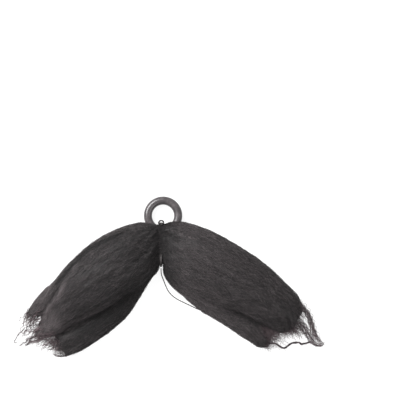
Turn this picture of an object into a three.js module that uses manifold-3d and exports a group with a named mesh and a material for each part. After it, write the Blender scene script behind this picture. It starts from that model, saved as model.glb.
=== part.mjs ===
// A false moustache: two tufts of black crepe hair, tied side by side to a moulded ring that holds on to
// the nose. Millimetres, +Z up. It lies on its back on a flat surface, so the front of the hair faces up.
// +X runs towards the right tuft and +Y towards the ring.
// The origin is on the surface, below the middle of the outline.
import * as THREE from "three";
import { LoftGeometry } from "three/addons/geometries/LoftGeometry.js";
import { mergeVertices } from "three/addons/utils/BufferGeometryUtils.js";
import Module from "manifold-3d";

const wasm = await Module();
wasm.setup();

// Driving dimensions. All places are measured from the tie, the point on the surface between the tufts.
const GAP = 0.3; // clearance between neighbouring pieces
const RING_BORE = 9.4;
const RING_WIRE = 3.35; // thickness of the ring's round bar
const RING_PLACE = { x: 0.8, y: 12.3 };
const RING_LIFT = 0.95; // how far the thread beneath it lifts the ring's near side
const THREAD = 0.45; // diameter of the thread
const WRAP_TURNS = 2; // turns of thread about the waist, side by side
const WAIST = { half: 8.8, top: 8.0, under: 2.8 }; // the bunched hair inside the thread
const KNOT = { width: 1.7, height: 1.1, depth: 1.2 };

// Shape of a lock's section: an arch over a flat underside, with grooves between its strands.
const BELLY = 0.38; // level of the widest point, as a share of the section's height
const CORNER = THREE.MathUtils.degToRad(50); // how far the arch turns in below the widest point
const STRAND_STEPS = 3; // section points from one groove to the next

// How finely each kind of piece is divided.
const LOCK = { steps: 19, sides: 24, groove: 0.7 };
const WISP = { steps: 8, sides: 9, groove: 0.1 };
const RING_STEPS = 40;
const RING_SIDES = 12;
const THREAD_SIDES = 8;
const WRAP_STEPS = 34;
const BOW_STEPS = 12;
const KNOT_SIDES = 10;
const KNOT_ROWS = 8;
const TAIL_STEPS = 34;

// Each row is one section of a lock: its middle, the way it faces in degrees from +X, half its width, and
// its top and underside above the surface. The first row of a main lock lies beyond the tie, where it is cut.
const LEFT_LOCKS = {
  main: [
    { x: 3.0, y: 0.0, facing: 180, half: WAIST.half, top: WAIST.top, under: WAIST.under },
    { x: -1.0, y: 0.0, facing: 180, half: WAIST.half, top: WAIST.top, under: WAIST.under },
    { x: -6.2, y: -3.0, facing: 187, half: 10.6, top: 11.2, under: 1.4 },
    { x: -12.6, y: -5.8, facing: 194, half: 12.4, top: 13.2, under: 0 },
    { x: -20.4, y: -10.4, facing: 201, half: 12.6, top: 14.0, under: 0 },
    { x: -28.4, y: -15.7, facing: 202, half: 12.3, top: 13.4, under: 0 },
    { x: -35.6, y: -20.5, facing: 201, half: 10.9, top: 11.8, under: 0 },
    { x: -41.2, y: -25.3, facing: 199, half: 9.2, top: 9.8, under: 0 },
    { x: -46.2, y: -32.0, facing: 203, half: 6.7, top: 7.4, under: 0 },
    { x: -49.5, y: -35.9, facing: 206, half: 3.3, top: 4.8, under: 0 },
    { x: -52.6, y: -38.0, facing: 208, half: 1.1, top: 2.4, under: 0 },
  ],
  rim: [
    { x: -2.0, y: 6.0, facing: 180, half: 2.7, top: 6.6, under: 3.4 },
    { x: -8.3, y: 6.9, facing: 183, half: 2.5, top: 7.4, under: 2.2 },
    { x: -15.8, y: 5.4, facing: 200, half: 2.3, top: 7.8, under: 0.6 },
    { x: -23.5, y: 1.7, facing: 211, half: 2.3, top: 8.0, under: 0 },
    { x: -30.2, y: -3.1, facing: 218, half: 2.3, top: 7.8, under: 0 },
    { x: -36.7, y: -8.7, facing: 224, half: 2.3, top: 7.4, under: 0 },
    { x: -41.5, y: -13.9, facing: 228, half: 2.2, top: 7.0, under: 0 },
    { x: -44.6, y: -17.7, facing: 229, half: 2.0, top: 6.6, under: 0 },
    { x: -47.2, y: -21.5, facing: 231, half: 3.1, top: 6.6, under: 0 },
    { x: -49.8, y: -25.1, facing: 236, half: 3.7, top: 6.4, under: 0 },
    { x: -52.2, y: -27.9, facing: 240, half: 3.4, top: 5.4, under: 0 },
    { x: -55.0, y: -29.3, facing: 243, half: 1.8, top: 4.0, under: 0 },
    { x: -56.7, y: -31.0, facing: 247, half: 0.7, top: 2.4, under: 0 },
  ],
  lower: [
    { x: -1.9, y: -5.6, facing: 215, half: 3.0, top: 6.2, under: 3.2 },
    { x: -4.0, y: -8.6, facing: 222, half: 3.5, top: 6.4, under: 2.4 },
    { x: -6.9, y: -11.5, facing: 225, half: 4.0, top: 6.4, under: 1.6 },
    { x: -12.8, y: -17.8, facing: 229, half: 5.7, top: 6.0, under: 0 },
    { x: -17.7, y: -24.7, facing: 225, half: 6.2, top: 5.6, under: 0 },
    { x: -24.3, y: -31.0, facing: 217, half: 6.0, top: 5.4, under: 0 },
    { x: -31.8, y: -36.3, facing: 211, half: 6.1, top: 5.2, under: 0 },
    { x: -38.2, y: -40.3, facing: 209, half: 5.9, top: 4.9, under: 0 },
    { x: -42.8, y: -42.6, facing: 208, half: 4.5, top: 4.3, under: 0 },
    { x: -45.6, y: -44.0, facing: 208, half: 2.4, top: 2.8, under: 0 },
  ],
};
const LEFT_WISPS = {
  middle: [
    { x: -47.0, y: -33.5, facing: 215, half: 3.4, top: 5.6, under: 0.2 },
    { x: -52.5, y: -38.2, facing: 214, half: 2.2, top: 3.6, under: 0 },
    { x: -56.8, y: -40.5, facing: 206, half: 1.2, top: 2.0, under: 0 },
    { x: -61.2, y: -41.3, facing: 188, half: 0.5, top: 0.9, under: 0 },
  ],
  outer: [
    { x: -50.0, y: -26.5, facing: 232, half: 2.6, top: 5.0, under: 0.4 },
    { x: -54.6, y: -31.8, facing: 234, half: 1.7, top: 3.2, under: 0 },
    { x: -56.6, y: -35.0, facing: 240, half: 1.0, top: 1.8, under: 0 },
    { x: -58.6, y: -38.6, facing: 240, half: 0.5, top: 0.9, under: 0 },
  ],
  inner: [
    { x: -42.0, y: -35.8, facing: 212, half: 3.8, top: 5.0, under: 0.2 },
    { x: -50.0, y: -40.4, facing: 208, half: 1.6, top: 2.8, under: 0 },
    { x: -54.6, y: -42.2, facing: 200, half: 0.9, top: 1.5, under: 0 },
    { x: -58.4, y: -43.2, facing: 194, half: 0.5, top: 0.9, under: 0 },
  ],
};
const RIGHT_LOCKS = {
  main: [
    { x: -3.0, y: 0.0, facing: 0, half: WAIST.half, top: WAIST.top, under: WAIST.under },
    { x: 1.0, y: 0.0, facing: 0, half: WAIST.half, top: WAIST.top, under: WAIST.under },
    { x: 4.9, y: -1.5, facing: -8, half: 11.5, top: 11.4, under: 1.6 },
    { x: 12.6, y: -5.4, facing: -13, half: 13.6, top: 13.6, under: 0 },
    { x: 21.5, y: -9.9, facing: -16, half: 14.1, top: 14.2, under: 0 },
    { x: 30.4, y: -14.6, facing: -20, half: 13.6, top: 13.6, under: 0 },
    { x: 39.3, y: -19.1, facing: -25, half: 11.8, top: 12.2, under: 0 },
    { x: 47.5, y: -25.4, facing: -29, half: 10.4, top: 10.2, under: 0 },
    { x: 53.4, y: -29.3, facing: -30, half: 8.7, top: 7.8, under: 0 },
    { x: 57.2, y: -31.9, facing: -31, half: 5.8, top: 4.6, under: 0 },
  ],
  lower: [
    { x: 2.4, y: -6.3, facing: -30, half: 2.8, top: 6.2, under: 3.2 },
    { x: 3.6, y: -10.0, facing: -48, half: 3.4, top: 6.6, under: 2.4 },
    { x: 6.3, y: -14.0, facing: -44, half: 3.6, top: 7.2, under: 1.7 },
    { x: 11.4, y: -18.2, facing: -38, half: 4.0, top: 7.8, under: 1.2 },
    { x: 18.8, y: -23.2, facing: -34, half: 4.8, top: 8.2, under: 1.0 },
    { x: 26.7, y: -27.8, facing: -32, half: 5.1, top: 8.0, under: 0.6 },
    { x: 34.3, y: -32.4, facing: -33, half: 5.4, top: 7.2, under: 0 },
    { x: 40.2, y: -36.2, facing: -34, half: 5.3, top: 6.2, under: 0 },
    { x: 43.0, y: -40.0, facing: -33, half: 3.9, top: 4.6, under: 0 },
    { x: 45.0, y: -41.8, facing: -33, half: 1.9, top: 2.6, under: 0 },
  ],
};
const RIGHT_WISPS = {
  outer: [
    { x: 48.5, y: -20.6, facing: -36, half: 3.6, top: 7.4, under: 1.0 },
    { x: 54.6, y: -23.4, facing: -42, half: 3.2, top: 6.2, under: 0.8 },
    { x: 58.2, y: -25.6, facing: -48, half: 2.4, top: 4.8, under: 0.6 },
    { x: 62.0, y: -29.6, facing: -60, half: 1.6, top: 3.0, under: 0.2 },
    { x: 64.4, y: -35.2, facing: -66, half: 1.1, top: 1.9, under: 0 },
    { x: 67.2, y: -40.6, facing: -58, half: 0.5, top: 1.0, under: 0 },
  ],
  inner: [
    { x: 52.5, y: -31.0, facing: -35, half: 3.2, top: 6.0, under: 0.4 },
    { x: 58.4, y: -33.6, facing: -45, half: 2.0, top: 3.6, under: 0.2 },
    { x: 61.6, y: -37.6, facing: -50, half: 1.2, top: 2.0, under: 0 },
    { x: 65.0, y: -41.0, facing: -45, half: 0.5, top: 0.9, under: 0 },
  ],
};

// The thread's turn about the waist, seen along X: over the hair, down inside the ring, back beneath both.
const WRAP_ROUTE = [
  { y: 0.0, z: WAIST.top + 0.55 },
  { y: 5.4, z: WAIST.top - 0.4 },
  { y: 8.6, z: 6.6 },
  { y: WAIST.half + 0.5, z: 4.4 },
  { y: 8.6, z: 2.0 },
  { y: 7.4, z: 0.7 },
  { y: 5.9, z: 0.38 },
  { y: 4.2, z: 0.8 },
  { y: 1.6, z: 2.0 },
  { y: -3.0, z: WAIST.under - 0.55 },
  { y: -7.2, z: 2.8 },
  { y: -WAIST.half - 0.5, z: 4.6 },
  { y: -8.4, z: 6.6 },
  { y: -5.4, z: WAIST.top - 0.4 },
];

// The small loop that the knot leaves above the hair, from one side of the knot to the other.
const BOW_ROUTE = [
  { x: -0.1, y: 8.8, z: 6.4 },
  { x: -0.8, y: 9.0, z: 6.7 },
  { x: -0.8, y: 9.8, z: 6.9 },
  { x: 0.1, y: 10.3, z: 6.9 },
  { x: 1.0, y: 9.9, z: 6.9 },
  { x: 1.1, y: 9.2, z: 6.7 },
  { x: 0.5, y: 8.8, z: 6.4 },
];
const KNOT_PLACE = { x: 0, y: 8.9, z: 6.3 };

// The thread's free end: down from the tie to the surface, along it, and in under the edge of the right tuft.
const TAIL_ROUTE = [
  { x: 0.0, y: -9.9, z: 4.4 },
  { x: 0.0, y: -10.9, z: 3.7 },
  { x: 0.1, y: -12.4, z: 2.4 },
  { x: 0.5, y: -13.8, z: 1.3 },
  { x: 1.0, y: -15.1, z: 0.6 },
  { x: 1.5, y: -16.5, z: 0.3 },
  { x: 2.1, y: -17.9, z: 0.25 },
  { x: 2.9, y: -19.5, z: 0.25 },
  { x: 4.1, y: -21.0, z: 0.25 },
  { x: 5.6, y: -22.3, z: 0.25 },
  { x: 7.4, y: -23.4, z: 0.25 },
  { x: 9.4, y: -24.4, z: 0.25 },
  { x: 11.3, y: -25.3, z: 0.25 },
  { x: 13.2, y: -26.2, z: 0.25 },
  { x: 15.1, y: -27.1, z: 0.25 },
  { x: 17.2, y: -27.8, z: 0.25 },
  { x: 19.4, y: -28.2, z: 0.25 },
  { x: 21.6, y: -28.5, z: 0.25 },
  { x: 24.0, y: -28.6, z: 0.25 },
];

const HAIR = { color: 0x353132, roughness: 0.85, metalness: 0 };
const RING_PLASTIC = { color: 0x4a4648, roughness: 0.35, metalness: 0 };
const THREAD_FIBRE = { color: 0x2b2728, roughness: 0.8, metalness: 0 };

// A closed geometry as a solid that can be joined and cut.
function toSolid(geometry) {
  const bare = new THREE.BufferGeometry();
  bare.setAttribute("position", geometry.getAttribute("position"));
  bare.setIndex(geometry.index);
  const merged = mergeVertices(bare);
  const vertProperties = merged.getAttribute("position").array;
  const triVerts = Uint32Array.from(merged.index.array);
  return new wasm.Manifold(new wasm.Mesh({ numProp: 3, vertProperties, triVerts }));
}

// A joined or cut solid back as a geometry.
function toGeometry(solid) {
  const mesh = solid.getMesh();
  const geometry = new THREE.BufferGeometry();
  geometry.setAttribute("position", new THREE.BufferAttribute(mesh.vertProperties, 3));
  geometry.setIndex(new THREE.BufferAttribute(mesh.triVerts, 1));
  geometry.computeVertexNormals();
  return geometry;
}

// A named piece with its own finish.
function piece(name, geometry, finish) {
  const mesh = new THREE.Mesh(geometry, new THREE.MeshStandardMaterial(finish));
  mesh.name = name;
  return mesh;
}

// A smooth curve through points given as rows.
function smoothCurve(rows, closed = false) {
  const points = rows.map(({ x, y, z }) => new THREE.Vector3(x, y, z));
  return new THREE.CatmullRomCurve3(points, closed, "catmullrom");
}

// The points of one section: an arch from corner to corner over its flat underside.
function sectionPoints(section, { sides, groove }) {
  const facing = THREE.MathUtils.degToRad(section.facing);
  const belly = THREE.MathUtils.lerp(section.under, section.top, BELLY);
  const points = [];
  for (let side = 0; side <= sides; side += 1) {
    const angle = THREE.MathUtils.lerp(-CORNER, Math.PI + CORNER, side / sides);
    const rise = Math.sin(angle);
    const sunk = side % STRAND_STEPS === 0 ? groove * Math.max(rise, 0) : 0;
    const across = Math.cos(angle) * section.half;
    const height = rise > 0
      ? belly + (section.top - belly - sunk) * rise
      : belly + ((belly - section.under) * rise) / Math.sin(CORNER);
    points.push(new THREE.Vector3(
      section.x - Math.sin(facing) * across,
      section.y + Math.cos(facing) * across,
      height,
    ));
  }
  return points;
}

// A lock of hair: a solid skinned over its rows of sections, with smooth sections worked out between them.
function lockSolid(rows, detail) {
  const route = smoothCurve(rows.map(({ x, y, facing }) => ({ x, y, z: facing })));
  const build = smoothCurve(rows.map(({ half, top, under }) => ({ x: half, y: top, z: under })));
  const sections = [];
  for (let step = 0; step <= detail.steps; step += 1) {
    const place = route.getPoint(step / detail.steps);
    const size = build.getPoint(step / detail.steps);
    const section = {
      x: place.x,
      y: place.y,
      facing: place.z,
      half: size.x,
      top: size.y,
      under: Math.max(size.z, 0),
    };
    sections.push(sectionPoints(section, detail));
  }
  return toSolid(new LoftGeometry(sections, { capStart: true, capEnd: true }));
}

// All the locks and wisps of one tuft, fused.
function tuftSolid(locks, wisps) {
  const solids = [
    ...Object.values(locks).map((rows) => lockSolid(rows, LOCK)),
    ...Object.values(wisps).map((rows) => lockSolid(rows, WISP)),
  ];
  return solids.reduce((joined, solid) => joined.add(solid));
}

// The turns of thread about the waist as one flat closed band, with a clearance where it presses into hair.
function wrapSolid(clearance = 0) {
  const curve = smoothCurve(WRAP_ROUTE.map(({ y, z }) => ({ x: 0, y, z })), true);
  const halfWidth = (WRAP_TURNS * THREAD) / 2 + clearance;
  const halfDepth = THREAD / 2 + clearance;
  const sideways = new THREE.Vector3(1, 0, 0);
  const sections = [];
  for (let step = 0; step <= WRAP_STEPS; step += 1) {
    const turn = (step % WRAP_STEPS) / WRAP_STEPS;
    const middle = curve.getPointAt(turn);
    const outward = new THREE.Vector3().crossVectors(sideways, curve.getTangentAt(turn));
    const points = [];
    for (let side = 0; side < THREAD_SIDES; side += 1) {
      const angle = (side / THREAD_SIDES) * 2 * Math.PI;
      const point = middle.clone();
      point.addScaledVector(sideways, halfWidth * Math.cos(angle));
      point.addScaledVector(outward, -halfDepth * Math.sin(angle));
      points.push(point);
    }
    sections.push(points);
  }
  return toSolid(new LoftGeometry(sections));
}

// A round thread along a curve, closed at both ends.
function threadGeometry(rows, steps) {
  const section = new THREE.Shape();
  for (let side = 0; side < THREAD_SIDES; side += 1) {
    const angle = (side / THREAD_SIDES) * 2 * Math.PI;
    const x = (THREAD / 2) * Math.cos(angle);
    const y = (THREAD / 2) * Math.sin(angle);
    if (side === 0) section.moveTo(x, y);
    else section.lineTo(x, y);
  }
  section.closePath();
  return new THREE.ExtrudeGeometry(section, { steps, extrudePath: smoothCurve(rows), curveSegments: 1 });
}

// The ring's round bar, with a clearance where it presses its shape into the hair.
function ringGeometry(clearance = 0) {
  const meanRadius = (RING_BORE + RING_WIRE) / 2;
  const geometry = new THREE.TorusGeometry(meanRadius, RING_WIRE / 2 + clearance, RING_SIDES, RING_STEPS);
  const tilt = Math.asin(RING_LIFT / (2 * meanRadius));
  geometry.rotateX(-tilt);
  geometry.translate(RING_PLACE.x, RING_PLACE.y, RING_WIRE / 2 + meanRadius * Math.sin(tilt));
  return geometry;
}

// The knot, a small flattened ball, with a clearance where it presses into the hair.
function knotSolid(clearance = 0) {
  const knot = new THREE.SphereGeometry(0.5, KNOT_SIDES, KNOT_ROWS);
  knot.scale(KNOT.width + 2 * clearance, KNOT.height + 2 * clearance, KNOT.depth + 2 * clearance);
  knot.translate(KNOT_PLACE.x, KNOT_PLACE.y, KNOT_PLACE.z);
  return toSolid(knot);
}

// The thread about the waist with its knot and bow, one fused body.
function tieSolid() {
  const bow = toSolid(threadGeometry(BOW_ROUTE, BOW_STEPS));
  return wrapSolid().add(knotSolid()).add(bow);
}

// A tuft trimmed at the tie, with the ring, the thread and the knot pressed into it.
function fittedTuft(locks, wisps, side) {
  const reach = 40;
  const otherSide = new THREE.BoxGeometry(reach, reach, reach);
  otherSide.translate(side * (GAP / 2 - reach / 2), 0, 0);
  return tuftSolid(locks, wisps)
    .subtract(toSolid(otherSide))
    .subtract(toSolid(ringGeometry(GAP)))
    .subtract(wrapSolid(GAP))
    .subtract(knotSolid(GAP));
}

const pieces = new THREE.Group();
pieces.add(piece("left_tuft", toGeometry(fittedTuft(LEFT_LOCKS, LEFT_WISPS, -1)), HAIR));
pieces.add(piece("right_tuft", toGeometry(fittedTuft(RIGHT_LOCKS, RIGHT_WISPS, 1)), HAIR));
pieces.add(piece("nose_ring", ringGeometry(), RING_PLASTIC));
pieces.add(piece("tie_thread", toGeometry(tieSolid()), THREAD_FIBRE));

// The middle of the outline, which the loose tail lies inside, comes to the origin.
const middle = new THREE.Box3().setFromObject(pieces).getCenter(new THREE.Vector3());
pieces.add(piece("thread_tail", threadGeometry(TAIL_ROUTE, TAIL_STEPS), THREAD_FIBRE));
pieces.position.set(-middle.x, -middle.y, 0);

const moustache = new THREE.Group();
moustache.add(pieces);

export default moustache;
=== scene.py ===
"""A false moustache, dressed: two tufts of crepe hair, a moulded nose ring and the thread that ties them.

Everything is in metres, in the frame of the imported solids: +X towards the right tuft, +Y towards the ring
and +Z out of the front of the hair. The moustache lies on its back on a pale floor, seen from straight
above. Tables are in millimetres from the tie, the point on the floor between the two tufts.
"""

import logging
import math
from collections.abc import Iterable
from dataclasses import astuple, dataclass
from enum import Enum

import bmesh
import bpy
import numpy as np
from mathutils import Matrix, Vector, noise
from mathutils.bvhtree import BVHTree
from mathutils.kdtree import KDTree


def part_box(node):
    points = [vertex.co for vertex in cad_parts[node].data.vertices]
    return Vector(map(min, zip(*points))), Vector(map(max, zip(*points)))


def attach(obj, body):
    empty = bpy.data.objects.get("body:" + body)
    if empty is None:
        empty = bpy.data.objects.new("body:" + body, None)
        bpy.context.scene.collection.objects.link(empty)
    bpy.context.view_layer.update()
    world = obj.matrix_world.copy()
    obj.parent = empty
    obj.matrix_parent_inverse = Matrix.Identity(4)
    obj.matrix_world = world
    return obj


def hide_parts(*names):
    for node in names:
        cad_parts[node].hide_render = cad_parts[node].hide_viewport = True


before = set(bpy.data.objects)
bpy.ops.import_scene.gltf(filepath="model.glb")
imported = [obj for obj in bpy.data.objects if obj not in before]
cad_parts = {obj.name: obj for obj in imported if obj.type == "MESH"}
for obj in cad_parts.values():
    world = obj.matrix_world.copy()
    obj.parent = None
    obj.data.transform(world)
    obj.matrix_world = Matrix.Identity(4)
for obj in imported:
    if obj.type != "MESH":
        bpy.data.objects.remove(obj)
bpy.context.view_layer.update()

log = logging.getLogger("moustache")

MM = 0.001
BODY = "root"
UP = np.array((0.0, 0.0, 1.0))
WHITE = (1, 1, 1, 1)

RING_BORE = 9.4
RING_BAR = 3.35
RING_LIFT = 0.95  # how far the thread beneath it lifts the ring's near side
RING_FROM_TIE = (0.8, 12.3)
THREAD = 0.45
WAIST_HALF = 8.8
WAIST_UNDER = 2.8
BUNCH_MIDDLE = 0.3  # the bunched hair at the tie: its middle, half its width and its top
BUNCH_HALF = 8.4
BUNCH_TOP = 9.3
BELLY = 0.38  # how high up a lock is widest, as a share of its height
CORNER = math.radians(50)  # how far below its widest a lock turns to its flat underside
FIBRE_SIDES = 3
FIBRE_RADIUS = 0.05
FIBRE_TAPER = ((0, 0.15, 0.7, 1), (0.5, 1.0, 0.85, 0.2))  # places along a fibre, and its girth there
COAT_ARCH = ((0, 0.2, 0.8, 1), (0.25, 1, 1, 0.5))  # places along a fibre, and how far it stands off there
FOLD_FADE = ((0, 0.12, 0.88, 1), (0.35, 1, 1, 0.35))  # places along a fold, and its strength there
TIP_FADE = (0.55, 1.0)  # a loose fibre's tone at its root and at its tip
MOST_TONE = 1.8


class Slot(str, Enum):
    """The record's material slots."""

    HAIR = "hair"
    RING = "ring_plastic"
    THREAD = "thread"


def tie_point() -> np.ndarray:
    """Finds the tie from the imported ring.

    Returns:
        The tie on the floor, in metres.
    """
    low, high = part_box("nose_ring")
    middle = (low + high) / 2
    return np.array((middle.x - RING_FROM_TIE[0] * MM, middle.y - RING_FROM_TIE[1] * MM, 0.0))


TIE = tie_point()


def from_tie(points: np.ndarray) -> np.ndarray:
    """Points in millimetres from the tie, as metres in the frame."""
    return np.asarray(points, float) * MM + TIE


def unit(vectors: np.ndarray) -> np.ndarray:
    """Vectors along the last axis, each with a length of one."""
    return vectors / np.maximum(np.linalg.norm(vectors, axis=-1, keepdims=True), 1e-12)


def smooth_rows(rows: np.ndarray, share: np.ndarray, closed: bool = False) -> np.ndarray:
    """A smooth curve through rows of numbers.

    Args:
        rows: One row for each point that the curve passes through.
        share: How far along the curve to look, from 0 to 1.
        closed: True where the curve runs back to its first row.

    Returns:
        One row for each share.
    """
    rows = np.asarray(rows, float)
    if closed:
        padded = np.vstack((rows[-1], rows, rows[:2]))
        spans = len(rows)
    else:
        padded = np.vstack((2 * rows[0] - rows[1], rows, 2 * rows[-1] - rows[-2]))
        spans = len(rows) - 1
    place = np.clip(np.asarray(share, float), 0, 1) * spans
    index = np.minimum(place.astype(int), spans - 1)
    u = (place - index)[:, None]
    before, start, end, after = (padded[index + k] for k in range(4))
    leaving = (end - before) / 2
    arriving = (after - start) / 2
    return (
        start * (2 * u**3 - 3 * u**2 + 1)
        + leaving * (u**3 - 2 * u**2 + u)
        + end * (3 * u**2 - 2 * u**3)
        + arriving * (u**3 - u**2)
    )


def path_length(points: np.ndarray) -> float:
    """The length of a path through points."""
    return float(np.linalg.norm(np.diff(points, axis=0), axis=1).sum())


def run_along(points: np.ndarray) -> np.ndarray:
    """How far along its path each point lies.

    Args:
        points: The points of one path, or of many paths of as many points each.

    Returns:
        The way gone, from 0 at each path's first point.
    """
    hops = np.linalg.norm(np.diff(points, axis=-2), axis=-1)
    return np.concatenate((np.zeros_like(hops[..., :1]), np.cumsum(hops, axis=-1)), axis=-1)


def resampled(rows: np.ndarray, run: np.ndarray, spots: np.ndarray) -> np.ndarray:
    """Rows of three numbers, read off at other places along their path.

    Args:
        rows: One row for each point of the path.
        run: How far along each point lies.
        spots: How far along to look.

    Returns:
        One row for each spot.
    """
    return np.stack([np.interp(spots, run, rows[:, k]) for k in range(3)], -1)


def around(sides: int) -> np.ndarray:
    """Evenly spaced angles round a full circle."""
    return np.linspace(0, 2 * math.pi, sides, endpoint=False)


@dataclass(frozen=True)
class Viewpoint:
    """The camera straight above, placed so that the tie shows at its own pixel of the square frame.

    mm_per_pixel holds at outline_level, the height in millimetres that outlines are measured at.
    """

    frame_side: int = 400
    tie_pixel: tuple[float, float] = (161.0, 245.0)
    mm_per_pixel: float = 0.42
    lens: float = 150.0
    sensor: float = 36.0
    outline_level: float = 5.0

    def place(self) -> np.ndarray:
        """Works out where the camera stands.

        Returns:
            Its place in millimetres from the tie.
        """
        middle = self.frame_side / 2
        x = (middle - self.tie_pixel[0]) * self.mm_per_pixel
        y = (self.tie_pixel[1] - middle) * self.mm_per_pixel
        distance = self.frame_side * self.mm_per_pixel * self.lens / self.sensor
        return np.array((x, y, distance + self.outline_level))

    def sighted(self, points: np.ndarray) -> np.ndarray:
        """Points moved along the line of sight from where they seem to lie to their own height.

        Args:
            points: Places in millimetres from the tie, as seen at the outline's level, and their heights.

        Returns:
            The places that look the same from the camera.
        """
        middle, height = self.place()[:2], self.place()[2]
        grown = (height - points[:, 2:]) / (height - self.outline_level)
        return np.hstack((middle + (points[:, :2] - middle) * grown, points[:, 2:]))


VIEW = Viewpoint()


def add_object(name: str, data: bpy.types.ID) -> bpy.types.Object:
    """Puts a mesh, a lamp or a camera into the scene.

    Args:
        name: The object's name.
        data: What it holds.

    Returns:
        The new object, at the origin.
    """
    made = bpy.data.objects.new(name, data)
    bpy.context.scene.collection.objects.link(made)
    return made


def mesh_object(name: str, bm: bmesh.types.BMesh) -> bpy.types.Object:
    """Turns a finished bmesh into a smooth object.

    Args:
        name: The object's name.
        bm: The finished mesh, which is freed.

    Returns:
        The new object, at the origin.
    """
    mesh = bpy.data.meshes.new(name)
    bm.to_mesh(mesh)
    bm.free()
    mesh.shade_smooth()
    return add_object(name, mesh)


def skin(bm: bmesh.types.BMesh, rings: Iterable[np.ndarray], closed: bool = False) -> None:
    """Adds a tube through rings of points.

    Args:
        bm: The mesh being made.
        rings: The tube's sections in order, each a row of points in metres.
        closed: True where the tube runs back into its own start, so that it has no ends to fill.
    """
    loops = []
    for points in rings:
        verts = bmesh.ops.create_circle(bm, segments=len(points), radius=MM)["verts"]
        for vert, point in zip(verts, points):
            vert.co = point
        loops.append(list(dict.fromkeys(edge for vert in verts for edge in vert.link_edges)))
    pairs = list(zip(loops, loops[1:]))
    if closed:
        pairs.append((loops[-1], loops[0]))
    for near, far in pairs:
        bmesh.ops.bridge_loops(bm, edges=near + far)
    if not closed:
        for end in (loops[0], loops[-1]):
            bmesh.ops.edgeloop_fill(bm, edges=end)


def dress(
    piece: bpy.types.Object,
    material: bpy.types.Material,
    replaced: tuple[str, ...] = (),
) -> None:
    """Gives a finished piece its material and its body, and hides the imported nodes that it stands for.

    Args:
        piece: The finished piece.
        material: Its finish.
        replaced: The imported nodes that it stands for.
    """
    piece.data.materials.clear()
    piece.data.materials.append(material)
    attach(piece, BODY)
    if replaced:
        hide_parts(*replaced)
    log.info("%s: %d faces", piece.name, len(piece.data.polygons))


class NodeGraph:
    """A short way to add linked shader nodes to a node tree."""

    def __init__(self, tree: bpy.types.NodeTree) -> None:
        """Keeps the tree that nodes are added to."""
        self.tree = tree

    def feed(self, node: bpy.types.Node, inputs: dict) -> None:
        """Sets a node's inputs.

        Args:
            node: The node.
            inputs: Socket name or number to a value, or to an output socket to link from.
        """
        for key, value in inputs.items():
            if isinstance(value, bpy.types.NodeSocket):
                self.tree.links.new(value, node.inputs[key])
            else:
                node.inputs[key].default_value = value

    def add(self, kind: str, inputs: dict | None = None, **settings: object) -> bpy.types.Node:
        """Adds a node.

        Args:
            kind: The node's type name.
            inputs: Socket name or number to a value, or to an output socket to link from.
            **settings: Properties of the node itself.

        Returns:
            The new node.
        """
        node = self.tree.nodes.new(kind)
        for key, value in settings.items():
            setattr(node, key, value)
        self.feed(node, inputs or {})
        return node

    def speckle(
        self, place: bpy.types.NodeSocket, scale: object, detail: float, roughness: float
    ) -> bpy.types.NodeSocket:
        """Adds a noise texture.

        Args:
            place: The coordinates that it lies on.
            scale: Its scale, a value or a socket.
            detail: How many finer layers it has.
            roughness: How strong they are.

        Returns:
            Its value, from 0 to 1.
        """
        inputs = {"Vector": place, "Scale": scale, "Detail": detail, "Roughness": roughness}
        return self.add("ShaderNodeTexNoise", inputs).outputs["Fac"]

    def reckon(self, operation: str, *values: object) -> bpy.types.NodeSocket:
        """Adds a sum of values or sockets."""
        return self.add("ShaderNodeMath", dict(enumerate(values)), operation=operation).outputs[0]

    def ranged(
        self, value: bpy.types.NodeSocket, given: tuple[float, float], wanted: tuple[float, float]
    ) -> bpy.types.NodeSocket:
        """Stretches one range of values to another.

        Args:
            value: The value to stretch.
            given: The least and the most that it is.
            wanted: The least and the most that it becomes.

        Returns:
            The stretched value.
        """
        inputs = dict(zip(("Value", "From Min", "From Max", "To Min", "To Max"), (value, *given, *wanted)))
        return self.add("ShaderNodeMapRange", inputs).outputs[0]

    def blend(
        self, factor: bpy.types.NodeSocket, first: object, second: object, clamped: bool = True
    ) -> bpy.types.NodeSocket:
        """Mixes two colours.

        Args:
            factor: How much of the second there is.
            first: The first colour, a value or a socket.
            second: The second colour.
            clamped: False where the factor may pass 1, for a colour beyond the second.

        Returns:
            The mixed colour.
        """
        inputs = {"Factor": factor, 6: first, 7: second}
        return self.add("ShaderNodeMix", inputs, data_type="RGBA", clamp_factor=clamped).outputs[2]


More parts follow.
